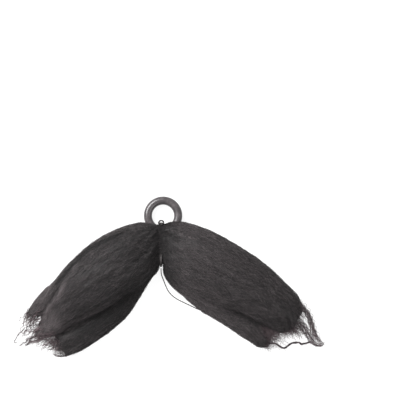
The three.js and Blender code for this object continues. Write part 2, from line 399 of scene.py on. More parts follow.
@dataclass(frozen=True)
class CrepeShade:
    """The shared shade of crimped fibre, from dark hollows to light crests.

    Clumps and grain are noise, each with its detail and roughness. clump_share is how much the clumps
    count for against the grain, and dull the roughness of the fibre over the grain's span.
    """

    name: str = "crepe_shade"
    clump: tuple[float, float] = (3.0, 0.6)
    grain: tuple[float, float] = (2.0, 0.5)
    clump_share: float = 0.65
    grain_span: tuple[float, float] = (0.3, 0.7)
    dull: tuple[float, float] = (0.5, 0.72)
    inputs: tuple[tuple[str, str], ...] = (
        ("Coordinates", "Vector"),
        ("Tone", "Float"),
        ("Dark", "Color"),
        ("Light", "Color"),
        ("Clump Scale", "Float"),
        ("Grain Scale", "Float"),
        ("Contrast", "Float"),
    )
    outputs: tuple[tuple[str, str], ...] = (("Color", "Color"), ("Roughness", "Float"), ("Height", "Float"))

    def group(self) -> bpy.types.NodeTree:
        """Builds the node group, once.

        Returns:
            The group.
        """
        made = bpy.data.node_groups.get(self.name)
        if made:
            return made
        made = bpy.data.node_groups.new(self.name, "ShaderNodeTree")
        for way, sockets in (("INPUT", self.inputs), ("OUTPUT", self.outputs)):
            for name, kind in sockets:
                made.interface.new_socket(name, in_out=way, socket_type=f"NodeSocket{kind}")
        graph = NodeGraph(made)
        given = graph.add("NodeGroupInput").outputs
        clump = graph.speckle(given["Coordinates"], given["Clump Scale"], *self.clump)
        grain = graph.speckle(given["Coordinates"], given["Grain Scale"], *self.grain)
        # the same noise makes the colour and the relief's height, so where a finish is bumped its hollows
        # get painted shade and its crests painted light
        height = graph.reckon("MULTIPLY_ADD", clump, self.clump_share, grain)
        centred = graph.reckon("SUBTRACT", height, (self.clump_share + 1) / 2)
        toned = graph.reckon("MULTIPLY_ADD", centred, given["Contrast"], given["Tone"])
        held = graph.add("ShaderNodeClamp", {"Value": toned, "Min": 0.0, "Max": MOST_TONE}).outputs[0]
        color = graph.blend(held, given["Dark"], given["Light"], clamped=False)
        rough = graph.ranged(grain, self.grain_span, self.dull)
        graph.add("NodeGroupOutput", {"Color": color, "Roughness": rough, "Height": height})
        return made


def new_material(name: str) -> tuple[bpy.types.Material, NodeGraph, bpy.types.Node]:
    """A material with a Principled shader.

    Args:
        name: The material's name.

    Returns:
        The material, its node graph and the shader node.
    """
    material = bpy.data.materials.new(name)
    material.use_nodes = True
    graph = NodeGraph(material.node_tree)
    return material, graph, material.node_tree.nodes["Principled BSDF"]


@dataclass(frozen=True)
class FibreFinish:
    """Dull dyed fibre: crepe hair or thread.

    A stretched finish runs along the strands of a core. bump is the depth of its relief, in metres.
    """

    name: str
    dark: tuple[float, float, float, float]
    light: tuple[float, float, float, float]
    clump_scale: float
    grain_scale: float
    contrast: float
    specular: float
    bump: float = 0.0
    bump_strength: float = 0.8
    stretched: bool = False

    def material(self) -> bpy.types.Material:
        """Builds the finish on the piece's own tone.

        Returns:
            A new material.
        """
        material, graph, shader = new_material(self.name)
        if self.stretched:
            place = graph.add("ShaderNodeAttribute", attribute_name="strand").outputs["Vector"]
        else:
            place = graph.add("ShaderNodeTexCoord").outputs["Object"]
        inputs = {
            "Coordinates": place,
            "Tone": graph.add("ShaderNodeAttribute", attribute_name="tone").outputs["Fac"],
            "Dark": self.dark,
            "Light": self.light,
            "Clump Scale": self.clump_scale,
            "Grain Scale": self.grain_scale,
            "Contrast": self.contrast,
        }
        shade = graph.add("ShaderNodeGroup", inputs, node_tree=CrepeShade().group()).outputs
        graph.feed(shader, {"Base Color": shade["Color"], "Roughness": shade["Roughness"]})
        graph.feed(shader, {"Specular IOR Level": self.specular})
        if self.bump:
            inputs = {"Height": shade["Height"], "Strength": self.bump_strength, "Distance": self.bump}
            graph.feed(shader, {"Normal": graph.add("ShaderNodeBump", inputs).outputs["Normal"]})
        return material


@dataclass(frozen=True)
class PlasticFinish:
    """Satin moulded plastic, glossier on its left side than on its right.

    gloss is the roughness at the left and the right, middle and reach where it changes, in metres. flow
    is the noise of the moulding that scuffs follow, and pitting the fine noise of its surface: scale,
    detail, roughness.
    """

    name: str
    color: tuple[float, float, float, float]
    scuffed: tuple[float, float, float, float]
    gloss: tuple[float, float]
    middle: float
    reach: float
    specular: float
    flow: tuple[float, float, float] = (420.0, 4.0, 0.6)
    pitting: tuple[float, float, float] = (2600.0, 2.0, 0.5)
    scuff_span: tuple[float, float] = (0.45, 0.75)
    scuff_dull: float = 0.06
    pit_depth: float = 0.00003
    pit_strength: float = 0.08

    def material(self) -> bpy.types.Material:
        """Builds the finish with fine scuffs and a faint flow of the moulding.

        Returns:
            A new material.
        """
        material, graph, shader = new_material(self.name)
        place = graph.add("ShaderNodeTexCoord").outputs["Object"]
        flow = graph.speckle(place, *self.flow)
        pits = graph.speckle(place, *self.pitting)
        worn = graph.ranged(flow, self.scuff_span, (0.0, 1.0))
        across = graph.add("ShaderNodeSeparateXYZ", {"Vector": place}).outputs["X"]
        dulled = graph.ranged(across, (self.middle - self.reach, self.middle + self.reach), self.gloss)
        relief = {"Height": pits, "Strength": self.pit_strength, "Distance": self.pit_depth}
        inputs = {
            "Base Color": graph.blend(worn, self.color, self.scuffed),
            "Roughness": graph.reckon("MULTIPLY_ADD", worn, self.scuff_dull, dulled),
            "Normal": graph.add("ShaderNodeBump", relief).outputs["Normal"],
            "Specular IOR Level": self.specular,
        }
        graph.feed(shader, inputs)
        return material


HAIR_CORE = FibreFinish(
    name="crepe_core",
    dark=(0.007, 0.0063, 0.0065, 1),
    light=(0.034, 0.030, 0.0305, 1),
    clump_scale=0.5,
    grain_scale=1.6,
    contrast=1.2,
    specular=0.2,
    bump=0.0001,
    stretched=True,
)
HAIR_FIBRE = FibreFinish(
    name="crepe_fibre",
    dark=(0.008, 0.0072, 0.0074, 1),
    light=(0.078, 0.0675, 0.0695, 1),
    clump_scale=1300.0,
    grain_scale=2600.0,
    contrast=2.3,
    specular=0.24,
)
HAIR_TIP = FibreFinish(
    name="crepe_tip",
    dark=(0.009, 0.0079, 0.0082, 1),
    light=(0.150, 0.114, 0.121, 1),
    clump_scale=700.0,
    grain_scale=1800.0,
    contrast=1.6,
    specular=0.25,
)
THREAD_FIBRE = FibreFinish(
    name="tie_thread_fibre",
    dark=(0.010, 0.0085, 0.0085, 1),
    light=(0.100, 0.090, 0.089, 1),
    clump_scale=700.0,
    grain_scale=3000.0,
    contrast=0.8,
    specular=0.3,
)
RING_PLASTIC = PlasticFinish(
    name="ring_plastic",
    color=(0.028, 0.024, 0.0255, 1),
    scuffed=(0.058, 0.050, 0.052, 1),
    gloss=(0.25, 0.44),
    middle=float(TIE[0]) + RING_FROM_TIE[0] * MM,
    reach=8.0 * MM,
    specular=0.4,
)


@dataclass(frozen=True)
class Section:
    """One section of a lock, in millimetres from the tie, and the way it faces in degrees from +X."""

    x: float
    y: float
    facing: float
    half: float
    top: float
    under: float


def sections(*rows: tuple[float, ...]) -> tuple[Section, ...]:
    """Rows of x, y, facing, half, top and under as sections."""
    return tuple(Section(*row) for row in rows)


@dataclass(frozen=True)
class Lock:
    """A lock of hair: its sections, how much of it is solid, and its loose ends.

    solid is the share of its length that the core fills. fringe counts the single loose ends where it was
    cut, and strands the bundles among them. fray is how unevenly they end, in millimetres, flare how wide
    they spread there to the lock's right and left against the last section, and shade how much lighter
    the lock is painted than its tuft: on the left rim it is painted light where the rim faces the light,
    and on the left lower lock painted shade under the main lock.
    """

    SAMPLES = 60
    LEAST_HALF = 0.2
    LEAST_HEIGHT = 0.3

    name: str
    rows: tuple[Section, ...]
    solid: float
    fringe: int
    strands: int
    fray: float
    flare: tuple[float, float] = (1.0, 1.0)
    shade: float = 0.0

    def columns(self, share: np.ndarray) -> np.ndarray:
        """The sections' numbers at each share of the lock's length, one row for each kind."""
        return smooth_rows(np.array([astuple(row) for row in self.rows]), share).T

    def surface(self, share: np.ndarray, angle: np.ndarray, inset: float = 0.0) -> np.ndarray:
        """Points on the lock's outside.

        Args:
            share: How far along the lock, from 0 to 1.
            angle: Places round each section, in radians, from the side on its left over its top.
            inset: How far inside the full size, in millimetres.

        Returns:
            Points in metres, one row for each share and one column for each angle.
        """
        x, y, facing, half, top, under = self.columns(share)[:, :, None]
        facing = np.radians(facing)
        half = np.maximum(half - inset, self.LEAST_HALF)
        under = np.maximum(under, 0) + inset
        top = np.maximum(top - inset, under + self.LEAST_HEIGHT)
        belly = under + BELLY * (top - under)
        rise = np.sin(angle)[None, :]
        drop = np.maximum(rise / math.sin(CORNER), -1)
        height = belly + np.where(rise > 0, (top - belly) * rise, (belly - under) * drop)
        across = half * np.cos(angle)[None, :]
        points = np.stack((x - np.sin(facing) * across, y + np.cos(facing) * across, height), -1)
        return from_tie(points)

    def length(self) -> float:
        """The lock's length along its middle, in millimetres."""
        return path_length(self.columns(np.linspace(0, 1, self.SAMPLES))[:2].T)


@dataclass(frozen=True)
class Wisp:
    """Strands that part from their lock, on a route in millimetres from the tie, as seen from the camera.

    fibres counts the fibres in each strand. spread is half the width that the strands fill at the route's
    start and end, crimp the height of their waves, ragged the share of the route that a strand may stop
    short of, astray how far their ways differ, in radians, and tone how much lighter they are than the
    tuft's other ends.
    """

    name: str
    route: tuple[tuple[float, float, float], ...]
    strands: int = 3
    fibres: int = 6
    spread: tuple[float, float] = (0.45, 0.35)
    crimp: float = 0.2
    ragged: float = 0.14
    astray: float = 0.0
    tone: float = 0.1


@dataclass(frozen=True)
class Fold:
    """A crease or a ridge in the hair, on a route in millimetres from the tie.

    width is how far it spreads to each side and depth how far it sinks, in millimetres, less than 0 for a
    ridge. shade is how much lighter the hair is along it: in a crease it is painted shade, on a ridge
    painted light.
    """

    SAMPLES = 60

    name: str
    route: tuple[tuple[float, float], ...]
    width: float
    depth: float
    shade: float

    def strength(self, places: np.ndarray) -> np.ndarray:
        """How strongly the fold is felt.

        Args:
            places: Points in millimetres from the tie, seen from above.

        Returns:
            From 1 on the route to 0 away from it, for each place.
        """
        line = smooth_rows(np.array(self.route), np.linspace(0, 1, self.SAMPLES))
        gaps = np.linalg.norm(places[:, None, :] - line[None, :, :], axis=2)
        nearest = gaps.argmin(axis=1) / (len(line) - 1)
        return np.interp(nearest, *FOLD_FADE) * np.exp(-((gaps.min(axis=1) / self.width) ** 2))


CURLED = {"fibres": 7, "spread": (0.4, 0.5), "crimp": 0.3}
LACY = {"fibres": 6, "crimp": 0.38, "astray": 0.1, "tone": 0.54}
NETTED = {"fibres": 5, "crimp": 0.4, "ragged": 0.5, "astray": 0.2, "tone": 0.54}
FUZZY = {"fibres": 1, "crimp": 0.32, "ragged": 0.6, "astray": 0.4, "tone": 0.4}

LEFT_LOCKS = (
    Lock(
        "main",
        sections(
            (3.0, BUNCH_MIDDLE, 180, BUNCH_HALF, BUNCH_TOP, WAIST_UNDER),
            (-1.0, BUNCH_MIDDLE, 180, BUNCH_HALF, BUNCH_TOP, WAIST_UNDER),
            (-6.2, -3.0, 187, 10.6, 11.2, 1.4),
            (-12.6, -5.8, 194, 12.4, 13.2, 0),
            (-20.4, -10.4, 201, 12.6, 14.0, 0),
            (-28.4, -15.7, 202, 12.3, 13.4, 0),
            (-35.6, -20.5, 201, 10.9, 11.8, 0),
            (-41.2, -25.3, 199, 9.2, 9.8, 0),
            (-46.2, -32.0, 203, 6.7, 7.4, 0),
            (-49.5, -35.9, 206, 3.3, 4.8, 0),
            (-52.6, -38.0, 208, 1.1, 2.4, 0),
        ),
        solid=1.0, fringe=120, strands=28, fray=2.2, flare=(3.2, 1.6),
    ),
    Lock(
        "rim",
        sections(
            (-2.0, 6.0, 180, 2.7, 6.6, 3.4),
            (-8.3, 6.9, 183, 2.5, 7.4, 2.2),
            (-15.8, 5.4, 200, 2.3, 7.8, 0.6),
            (-23.5, 1.7, 211, 2.3, 8.0, 0),
            (-30.2, -3.1, 218, 2.3, 7.8, 0),
            (-36.7, -8.7, 224, 2.3, 7.4, 0),
            (-41.5, -13.9, 228, 2.2, 7.0, 0),
            (-44.6, -17.7, 229, 2.0, 6.6, 0),
            (-47.2, -21.5, 231, 3.1, 6.6, 0),
            (-49.8, -25.1, 236, 3.7, 6.4, 0),
            (-52.2, -27.9, 240, 3.4, 5.4, 0),
            (-55.0, -29.3, 243, 1.8, 4.0, 0),
            (-56.7, -31.0, 247, 0.7, 2.4, 0),
        ),
        # the rim's lighter shade is painted light on the edge that faces the light
        solid=0.92, fringe=60, strands=18, fray=2.4, flare=(1.2, 4.0), shade=0.36,
    ),
    Lock(
        "lower",
        sections(
            (-1.9, -5.6, 215, 3.0, 6.2, 3.2),
            (-4.0, -8.6, 222, 3.5, 6.4, 2.4),
            (-6.9, -11.5, 225, 4.0, 6.4, 1.6),
            (-12.8, -17.8, 229, 5.7, 6.0, 0),
            (-17.7, -24.7, 225, 6.2, 5.6, 0),
            (-24.3, -31.0, 217, 6.0, 5.4, 0),
            (-31.8, -36.3, 211, 6.1, 5.2, 0),
            (-38.2, -40.3, 209, 5.9, 4.9, 0),
            (-42.8, -42.6, 208, 4.5, 4.3, 0),
            (-45.6, -44.0, 208, 2.4, 2.8, 0),
        ),
        # the lower lock's darker shade is painted shade under the main lock
        solid=0.88, fringe=140, strands=34, fray=2.0, flare=(1.6, 1.2), shade=-0.06,
    ),
)
# Painted light and shade along the left folds: the creases, the tip's valley and the overhang darken the
# hair as painted shade, the ridges and the lit edge lighten it as painted light, and the filled seam is a
# little lighter. The broad fold at the main lock's cut end only makes that end lighter.
LEFT_FOLDS = (
    Fold(
        "rim_crease",
        ((-13.0, 6.2), (-20.8, 3.0), (-29.8, -1.7), (-35.7, -6.7), (-41.0, -13.2), (-44.5, -17.4)),
        width=1.0, depth=1.0, shade=-0.9,
    ),
    Fold(
        "tip_valley",
        ((-45.4, -18.9), (-47.6, -23.5), (-49.0, -27.5), (-49.4, -30.7)),
        width=0.9, depth=0.1, shade=-0.12,
    ),
    Fold("tip_ridge", ((-46.2, -17.2), (-48.0, -20.5), (-49.3, -24.4)), width=0.7, depth=-0.4, shade=0.5),
    Fold(
        "main_ridge",
        ((-39.9, -16.4), (-42.4, -20.6), (-45.4, -24.8), (-47.7, -28.1), (-48.6, -30.2), (-49.0, -31.6)),
        width=0.9, depth=-0.8, shade=0.7,
    ),
    Fold(
        "inner_ridge",
        ((-34.6, -8.0), (-38.0, -12.4), (-40.6, -17.4), (-43.0, -24.0)),
        width=1.0, depth=-0.35, shade=0.35,
    ),
    # lighter towards the main lock's cut end
    Fold(
        "lighter_end",
        ((-42.0, -30.5), (-46.5, -33.5), (-51.0, -37.5), (-53.5, -39.0)),
        width=4.5, depth=0.0, shade=0.85,
    ),
    Fold(
        "lit_edge",
        ((-15.1, -20.2), (-25.6, -26.7), (-34.3, -31.7), (-40.7, -34.9)),
        width=0.8, depth=-0.3, shade=0.4,
    ),
    Fold(
        "overhang",
        ((-11.5, -20.4), (-18.6, -27.4), (-29.0, -33.6), (-37.5, -38.0)),
        width=4.0, depth=0.1, shade=-0.42,
    ),
    Fold(
        "seam_fill",
        ((-31.0, -31.8), (-35.4, -33.7), (-39.6, -35.6), (-43.6, -37.2)),
        width=1.0, depth=-0.4, shade=0.12,
    ),
)
LEFT_WISPS = (
    Wisp(
        "rim",
        ((-54.6, -25.6, 3.6), (-56.2, -28.2, 2.8), (-56.9, -29.8, 2.2), (-57.3, -31.1, 1.8)),
        ragged=0.2,
    ),
    Wisp(
        "tip",
        ((-53.5, -25.8, 4.2), (-55.3, -28.4, 3.0), (-56.0, -29.8, 2.4), (-56.5, -31.0, 2.0)),
        ragged=0.2,
    ),
    Wisp(
        "outer",
        (
            (-51.5, -26.6, 4.6), (-53.4, -29.2, 3.2), (-54.4, -31.0, 2.4), (-55.0, -32.2, 1.9),
            (-55.0, -34.0, 1.5), (-54.7, -35.7, 1.2), (-55.4, -37.2, 0.9),
        ),
        strands=2, ragged=0.35, **CURLED,
    ),
    Wisp(
        "second",
        (
            (-49.5, -28.6, 4.8), (-51.7, -30.7, 3.4), (-53.1, -31.9, 2.6), (-54.2, -33.2, 2.0),
            (-55.6, -34.4, 1.6), (-56.5, -36.0, 1.2), (-56.9, -37.8, 0.9), (-57.8, -39.2, 0.6),
        ),
        strands=2, ragged=0.35, **CURLED,
    ),
    Wisp(
        "third",
        (
            (-47.5, -31.0, 5.0), (-50.4, -32.6, 3.4), (-51.7, -33.4, 2.8), (-53.1, -33.6, 2.2),
            (-53.8, -34.4, 1.8), (-54.9, -35.9, 1.4), (-55.9, -37.2, 0.9),
        ),
        strands=2, ragged=0.35, **CURLED,
    ),
    Wisp(
        "fourth",
        (
            (-47.0, -33.5, 5.0), (-51.0, -35.7, 2.8), (-52.8, -36.2, 2.0), (-54.4, -36.9, 1.4),
            (-57.2, -38.5, 0.7),
        ),
        strands=3, ragged=0.3, **CURLED,
    ),
    Wisp(
        "haze",
        ((-52.6, -27.0, 4.0), (-54.8, -30.5, 2.6), (-56.0, -33.0, 1.8), (-57.0, -36.0, 1.0)),
        strands=26, fibres=1, spread=(2.4, 2.2), crimp=0.34, ragged=0.5,
    ),
    Wisp(
        "lace",
        ((-50.4, -27.4, 4.6), (-53.6, -31.0, 2.9), (-56.2, -34.0, 1.7), (-58.2, -36.8, 0.8)),
        strands=12, spread=(3.2, 2.2), ragged=0.5, **LACY,
    ),
    Wisp(
        "low_lace",
        ((-48.8, -32.6, 4.6), (-52.4, -35.2, 2.8), (-55.2, -37.4, 1.6), (-57.8, -39.4, 0.8)),
        strands=10, spread=(2.2, 1.8), ragged=0.4, **LACY,
    ),
    Wisp(
        "long",
        (
            (-46.5, -34.8, 4.6), (-50.8, -37.4, 2.4), (-52.5, -38.2, 1.8), (-54.6, -39.1, 1.2),
            (-56.3, -39.5, 0.8), (-57.1, -40.1, 0.6),
        ),
        strands=7,
    ),
    Wisp(
        "curl",
        (
            (-56.6, -34.6, 1.4), (-57.4, -35.3, 1.2), (-58.4, -36.3, 1.0), (-59.9, -37.8, 0.7),
            (-60.8, -39.1, 0.5), (-61.5, -40.5, 0.4), (-61.1, -41.2, 0.4), (-60.1, -40.7, 0.4),
        ),
        strands=2, fibres=6, spread=(0.2, 0.15), crimp=0.14, ragged=0.05,
    ),
    Wisp(
        "low",
        ((-53.0, -39.6, 1.2), (-56.0, -40.6, 0.7), (-58.8, -41.8, 0.4), (-60.1, -42.3, 0.4)),
        strands=2,
    ),
    Wisp(
        "thick",
        (
            (-46.0, -37.6, 3.4), (-51.0, -39.9, 1.6), (-55.0, -41.0, 0.9), (-56.1, -41.8, 0.6),
            (-57.5, -42.5, 0.4),
        ),
        strands=8, spread=(0.6, 0.3),
    ),
    Wisp(
        "over_hem",
        ((-45.4, -36.2, 6.4), (-47.8, -38.0, 4.8), (-50.2, -39.7, 2.6), (-52.4, -41.2, 0.8)),
        strands=14, fibres=4, spread=(2.6, 2.4), crimp=0.4, ragged=0.5, astray=0.12, tone=0.3,
    ),
    Wisp(
        "upper_net",
        ((-47.8, -36.8, 5.0), (-50.4, -38.8, 2.6), (-52.0, -39.8, 1.6), (-53.8, -40.8, 0.6)),
        strands=17, spread=(2.2, 1.8), **NETTED,
    ),
    Wisp(
        "middle_net",
        ((-44.4, -38.4, 4.4), (-47.2, -40.2, 2.4), (-49.0, -41.2, 1.4), (-50.8, -42.2, 0.6)),
        strands=24, spread=(2.2, 1.8), **NETTED,
    ),
    Wisp(
        "lower_net",
        ((-41.2, -40.6, 3.6), (-43.8, -42.0, 2.0), (-45.8, -42.9, 1.2), (-47.8, -43.8, 0.6)),
        strands=22, spread=(1.9, 1.3), **NETTED,
    ),
    Wisp(
        "edge",
        (
            (-36.5, -44.9, 1.6), (-39.1, -46.2, 0.8), (-41.6, -46.6, 0.5), (-43.9, -46.5, 0.4),
            (-45.4, -45.6, 0.4),
        ),
        strands=7, spread=(0.5, 0.25),
    ),
)
RIGHT_LOCKS = (
    Lock(
        "main",
        sections(
            (-3.0, BUNCH_MIDDLE, 0, BUNCH_HALF, BUNCH_TOP, WAIST_UNDER),
            (1.0, BUNCH_MIDDLE, 0, BUNCH_HALF, BUNCH_TOP, WAIST_UNDER),
            (4.9, -1.5, -8, 11.5, 11.4, 1.6),
            (12.6, -5.4, -13, 13.6, 13.6, 0),
            (21.5, -9.9, -16, 14.1, 14.2, 0),
            (30.4, -14.6, -20, 13.6, 13.6, 0),
            (39.3, -19.1, -25, 11.8, 12.2, 0),
            (47.5, -25.4, -29, 10.4, 10.2, 0),
            (53.4, -29.3, -30, 8.7, 7.8, 0),
            (57.2, -31.9, -31, 5.8, 4.6, 0),
        ),
        solid=1.0, fringe=620, strands=30, fray=1.1,
    ),
    Lock(
        "lower",
        sections(
            (2.4, -6.3, -30, 2.8, 6.2, 3.2),
            (3.6, -10.0, -48, 3.4, 6.6, 2.4),
            (6.3, -14.0, -44, 3.6, 7.2, 1.7),
            (11.4, -18.2, -38, 4.0, 7.8, 1.2),
            (18.8, -23.2, -34, 4.8, 8.2, 1.0),
            (26.7, -27.8, -32, 5.1, 8.0, 0.6),
            (34.3, -32.4, -33, 5.4, 7.2, 0),
            (40.2, -36.2, -34, 5.3, 6.2, 0),
            (43.0, -40.0, -33, 3.9, 4.6, 0),
            (45.0, -41.8, -33, 1.9, 2.6, 0),
        ),
        solid=0.97, fringe=300, strands=8, fray=1.6, shade=0.14,
    ),
)
# Painted light and shade along the right folds: the gather and the crease darken the hair as painted shade,
# the crease's ridge lightens it as painted light, and the filled seam is a little lighter.
RIGHT_FOLDS = (
    Fold("gather", ((0.8, 5.0), (4.6, 3.5), (8.8, 2.1)), width=1.0, depth=0.7, shade=-0.45),
    Fold(
        "crease",
        ((30.0, -28.0), (32.7, -28.7), (36.9, -31.1), (42.3, -33.8), (45.6, -35.8)),
        width=1.4, depth=0.45, shade=-0.4,
    ),
    Fold("crease_ridge", ((30.0, -26.2), (36.0, -28.9), (43.0, -32.4)), width=0.7, depth=-0.3, shade=0.2),
    Fold(
        "filled",
        ((8.5, -17.0), (11.8, -18.9), (16.6, -21.6), (21.8, -25.4), (26.5, -27.4)),
        width=1.3, depth=-0.3, shade=0.1,
    ),
)
RIGHT_WISPS = (
    Wisp(
        "outer",
        (
            (54.2, -22.0, 5.6), (58.0, -24.8, 4.4), (61.0, -28.0, 3.2), (62.6, -31.2, 2.2),
            (63.5, -34.4, 1.5), (64.5, -37.2, 1.0), (66.0, -39.7, 0.7), (68.2, -41.6, 0.5),
        ),
        strands=38, fibres=2, spread=(1.3, 1.0), crimp=0.36, ragged=0.08, tone=0.3,
    ),
    Wisp(
        "inner",
        (
            (52.2, -28.6, 4.8), (56.4, -31.2, 3.6), (58.9, -33.6, 2.6), (60.5, -35.7, 1.9),
            (61.8, -37.6, 1.3), (63.0, -39.6, 0.8), (64.4, -41.6, 0.5),
        ),
        strands=43, fibres=2, spread=(1.6, 1.0), crimp=0.36, ragged=0.1, tone=0.3,
    ),
    Wisp(
        "slit",
        ((54.2, -26.5, 5.0), (57.1, -28.4, 3.6), (59.6, -30.0, 2.6), (61.2, -31.9, 2.0)),
        strands=8, fibres=3, spread=(0.8, 0.6), crimp=0.28, ragged=0.3,
    ),
    Wisp(
        "corner",
        (
            (50.0, -30.9, 4.6), (52.9, -32.8, 3.6), (55.4, -34.5, 2.6), (58.4, -36.2, 1.6),
            (60.6, -37.9, 1.0),
        ),
        strands=130, fibres=2, spread=(2.4, 1.2), crimp=0.3, ragged=0.5, astray=0.2, tone=0.4,
    ),
    Wisp(
        "hem",
        ((45.5, -33.0, 5.0), (46.8, -35.6, 3.4), (48.2, -37.6, 1.8)),
        strands=170, spread=(2.4, 2.4), **FUZZY,
    ),
    Wisp(
        "hem_end",
        ((52.6, -34.0, 4.2), (53.6, -36.2, 2.8), (54.6, -37.9, 1.4)),
        strands=150, spread=(2.2, 2.2), **FUZZY,
    ),
    Wisp(
        "between",
        ((42.0, -35.0, 5.2), (45.6, -37.4, 3.0), (48.8, -39.2, 1.4), (51.6, -40.6, 0.8)),
        strands=320, fibres=1, spread=(2.4, 2.2), crimp=0.36, ragged=0.5, astray=0.45, tone=0.4,
    ),
    Wisp(
        "under",
        ((41.0, -39.0, 2.8), (43.6, -41.2, 1.5), (45.6, -42.4, 0.8), (48.2, -42.8, 0.5)),
        strands=14, fibres=2, spread=(0.8, 0.7), crimp=0.3, ragged=0.5, astray=0.1,
    ),
    Wisp(
        "stray",
        (
            (42.0, -40.4, 1.6), (44.4, -41.4, 1.0), (48.0, -41.4, 0.7), (49.6, -42.5, 0.6),
            (51.5, -43.3, 0.5), (53.2, -42.5, 0.5), (54.5, -41.4, 0.5), (56.6, -41.0, 0.5),
            (57.9, -41.0, 0.5), (58.8, -41.6, 0.5), (60.3, -41.4, 0.5), (62.7, -40.8, 0.5),
            (64.5, -42.0, 0.5), (65.9, -42.3, 0.5), (67.5, -42.2, 0.5), (68.4, -41.0, 0.5),
        ),
        strands=9, fibres=6, spread=(0.22, 0.36), crimp=0.1, ragged=0.02,
    ),
    Wisp(
        "tip",
        ((62.6, -38.8, 1.0), (64.6, -41.0, 0.6), (66.6, -42.0, 0.5), (68.4, -41.4, 0.5)),
        strands=11, fibres=2, spread=(1.0, 0.5), ragged=0.2, tone=0.3,
    ),
    Wisp(
        "veil",
        ((49.4, -35.8, 3.0), (51.0, -38.2, 1.8), (52.6, -40.4, 0.9), (54.2, -42.0, 0.5)),
        strands=22, fibres=1, spread=(5.0, 5.0), crimp=0.4, ragged=0.5, astray=0.3, tone=0.4,
    ),
)


class FlowField:
    """Which way the hair runs: the nearest place on any lock and its direction there.

    LOCK_APART keeps the patterns along two locks from being the same, in millimetres.
    """

    STEPS = 90
    SIDES = 40
    END_SHARE = 0.03
    LOCK_APART = 200.0

    def __init__(self, locks: tuple[Lock, ...]) -> None:
        """Samples every lock's outside.

        Args:
            locks: The locks of one tuft.
        """
        share = np.linspace(0, 1, self.STEPS)
        angle = around(self.SIDES)
        samples = self.STEPS * self.SIDES
        ways, beyond, alongs, acrosses, shades = [], [], [], [], []
        self.trees = []
        for number, lock in enumerate(locks):
            surface = lock.surface(share, angle)
            half = lock.columns(share)[3]
            ways.append(unit(np.gradient(surface, axis=0)).reshape(-1, 3))
            beyond.append(np.repeat(share > lock.solid - self.END_SHARE, self.SIDES))
            alongs.append(np.repeat(share * lock.length() + self.LOCK_APART * number, self.SIDES))
            acrosses.append((half[:, None] * angle[None, :]).ravel())
            shades.append(np.full(samples, lock.shade))
            tree = KDTree(samples)
            for index, point in enumerate(surface.reshape(-1, 3)):
                tree.insert(point, index)
            tree.balance()
            self.trees.append(tree)
        self.ways = np.vstack(ways)
        self.beyond = np.concatenate(beyond)
        self.alongs = np.concatenate(alongs)
        self.acrosses = np.concatenate(acrosses)
        self.shades = np.concatenate(shades)

    def nearest(self, point: Vector) -> tuple[int, float]:
        """The nearest sample and how far the next lock is beyond it.

        Args:
            point: A point on or near the hair.

        Returns:
            The sample's number, and how much further off the next nearest lock is, in millimetres.
        """
        found = []
        for number, tree in enumerate(self.trees):
            _, index, far = tree.find(point)
            found.append((far, index + number * self.STEPS * self.SIDES))
        found.sort()
        return found[0][1], (found[1][0] - found[0][0]) / MM


@dataclass(frozen=True)
class Fibres:
    """Fine fibres of as many points each: three-sided tubes that narrow to their ends.

    paths holds points in metres, fibres by steps by three, radius each fibre's radius in metres, and tone
    the lightness, fibres by steps.
    """

    paths: np.ndarray
    radius: np.ndarray
    tone: np.ndarray

    def share(self, number: int, groups: int) -> "Fibres":
        """Every so many-th fibre, from the given one on."""
        return Fibres(self.paths[number::groups], self.radius[number::groups], self.tone[number::groups])

    def triangles(self) -> int:
        """About how many triangles the fibres take."""
        return 2 * FIBRE_SIDES * self.paths.shape[0] * self.paths.shape[1]

    def corners(self) -> np.ndarray:
        """Works out the corners of all tubes.

        Returns:
            Points in metres, one row each.
        """
        along = unit(np.gradient(self.paths, axis=1))
        never_zero = np.array((1e-6, 2e-6, 0))
        sideways = unit(np.cross(along, UP) + never_zero)
        upward = np.cross(sideways, along)
        taper = np.interp(np.linspace(0, 1, self.paths.shape[1]), *FIBRE_TAPER)
        reach = self.radius[:, None] * taper[None, :]
        turn = math.pi / 2 + np.arange(FIBRE_SIDES) * 2 * math.pi / FIBRE_SIDES
        spokes = (
            np.cos(turn)[None, None, :, None] * sideways[:, :, None, :]
            + np.sin(turn)[None, None, :, None] * upward[:, :, None, :]
        )
        return (self.paths[:, :, None, :] + reach[:, :, None, None] * spokes).reshape(-1, 3)

    def faces(self, first: int) -> tuple[np.ndarray, np.ndarray]:
        """The tubes' faces.

        Args:
            first: The number of the first corner in the whole mesh.

        Returns:
            The walls, of four corners each, and the closed ends, of three.
        """
        sides = FIBRE_SIDES
        count, steps, _ = self.paths.shape
        fibre = (first + np.arange(count) * steps * sides)[:, None, None]
        ring = (np.arange(steps - 1) * sides)[None, :, None]
        side = np.arange(sides)[None, None, :]
        here = (fibre + ring + side).ravel()
        beside = (fibre + ring + (side + 1) % sides).ravel()
        walls = np.stack((here, here + sides, beside + sides, beside), -1)
        roots = fibre[:, :, 0] + np.arange(sides)[None, :]
        tips = roots[:, ::-1] + (steps - 1) * sides
        return walls, np.concatenate((roots, tips))


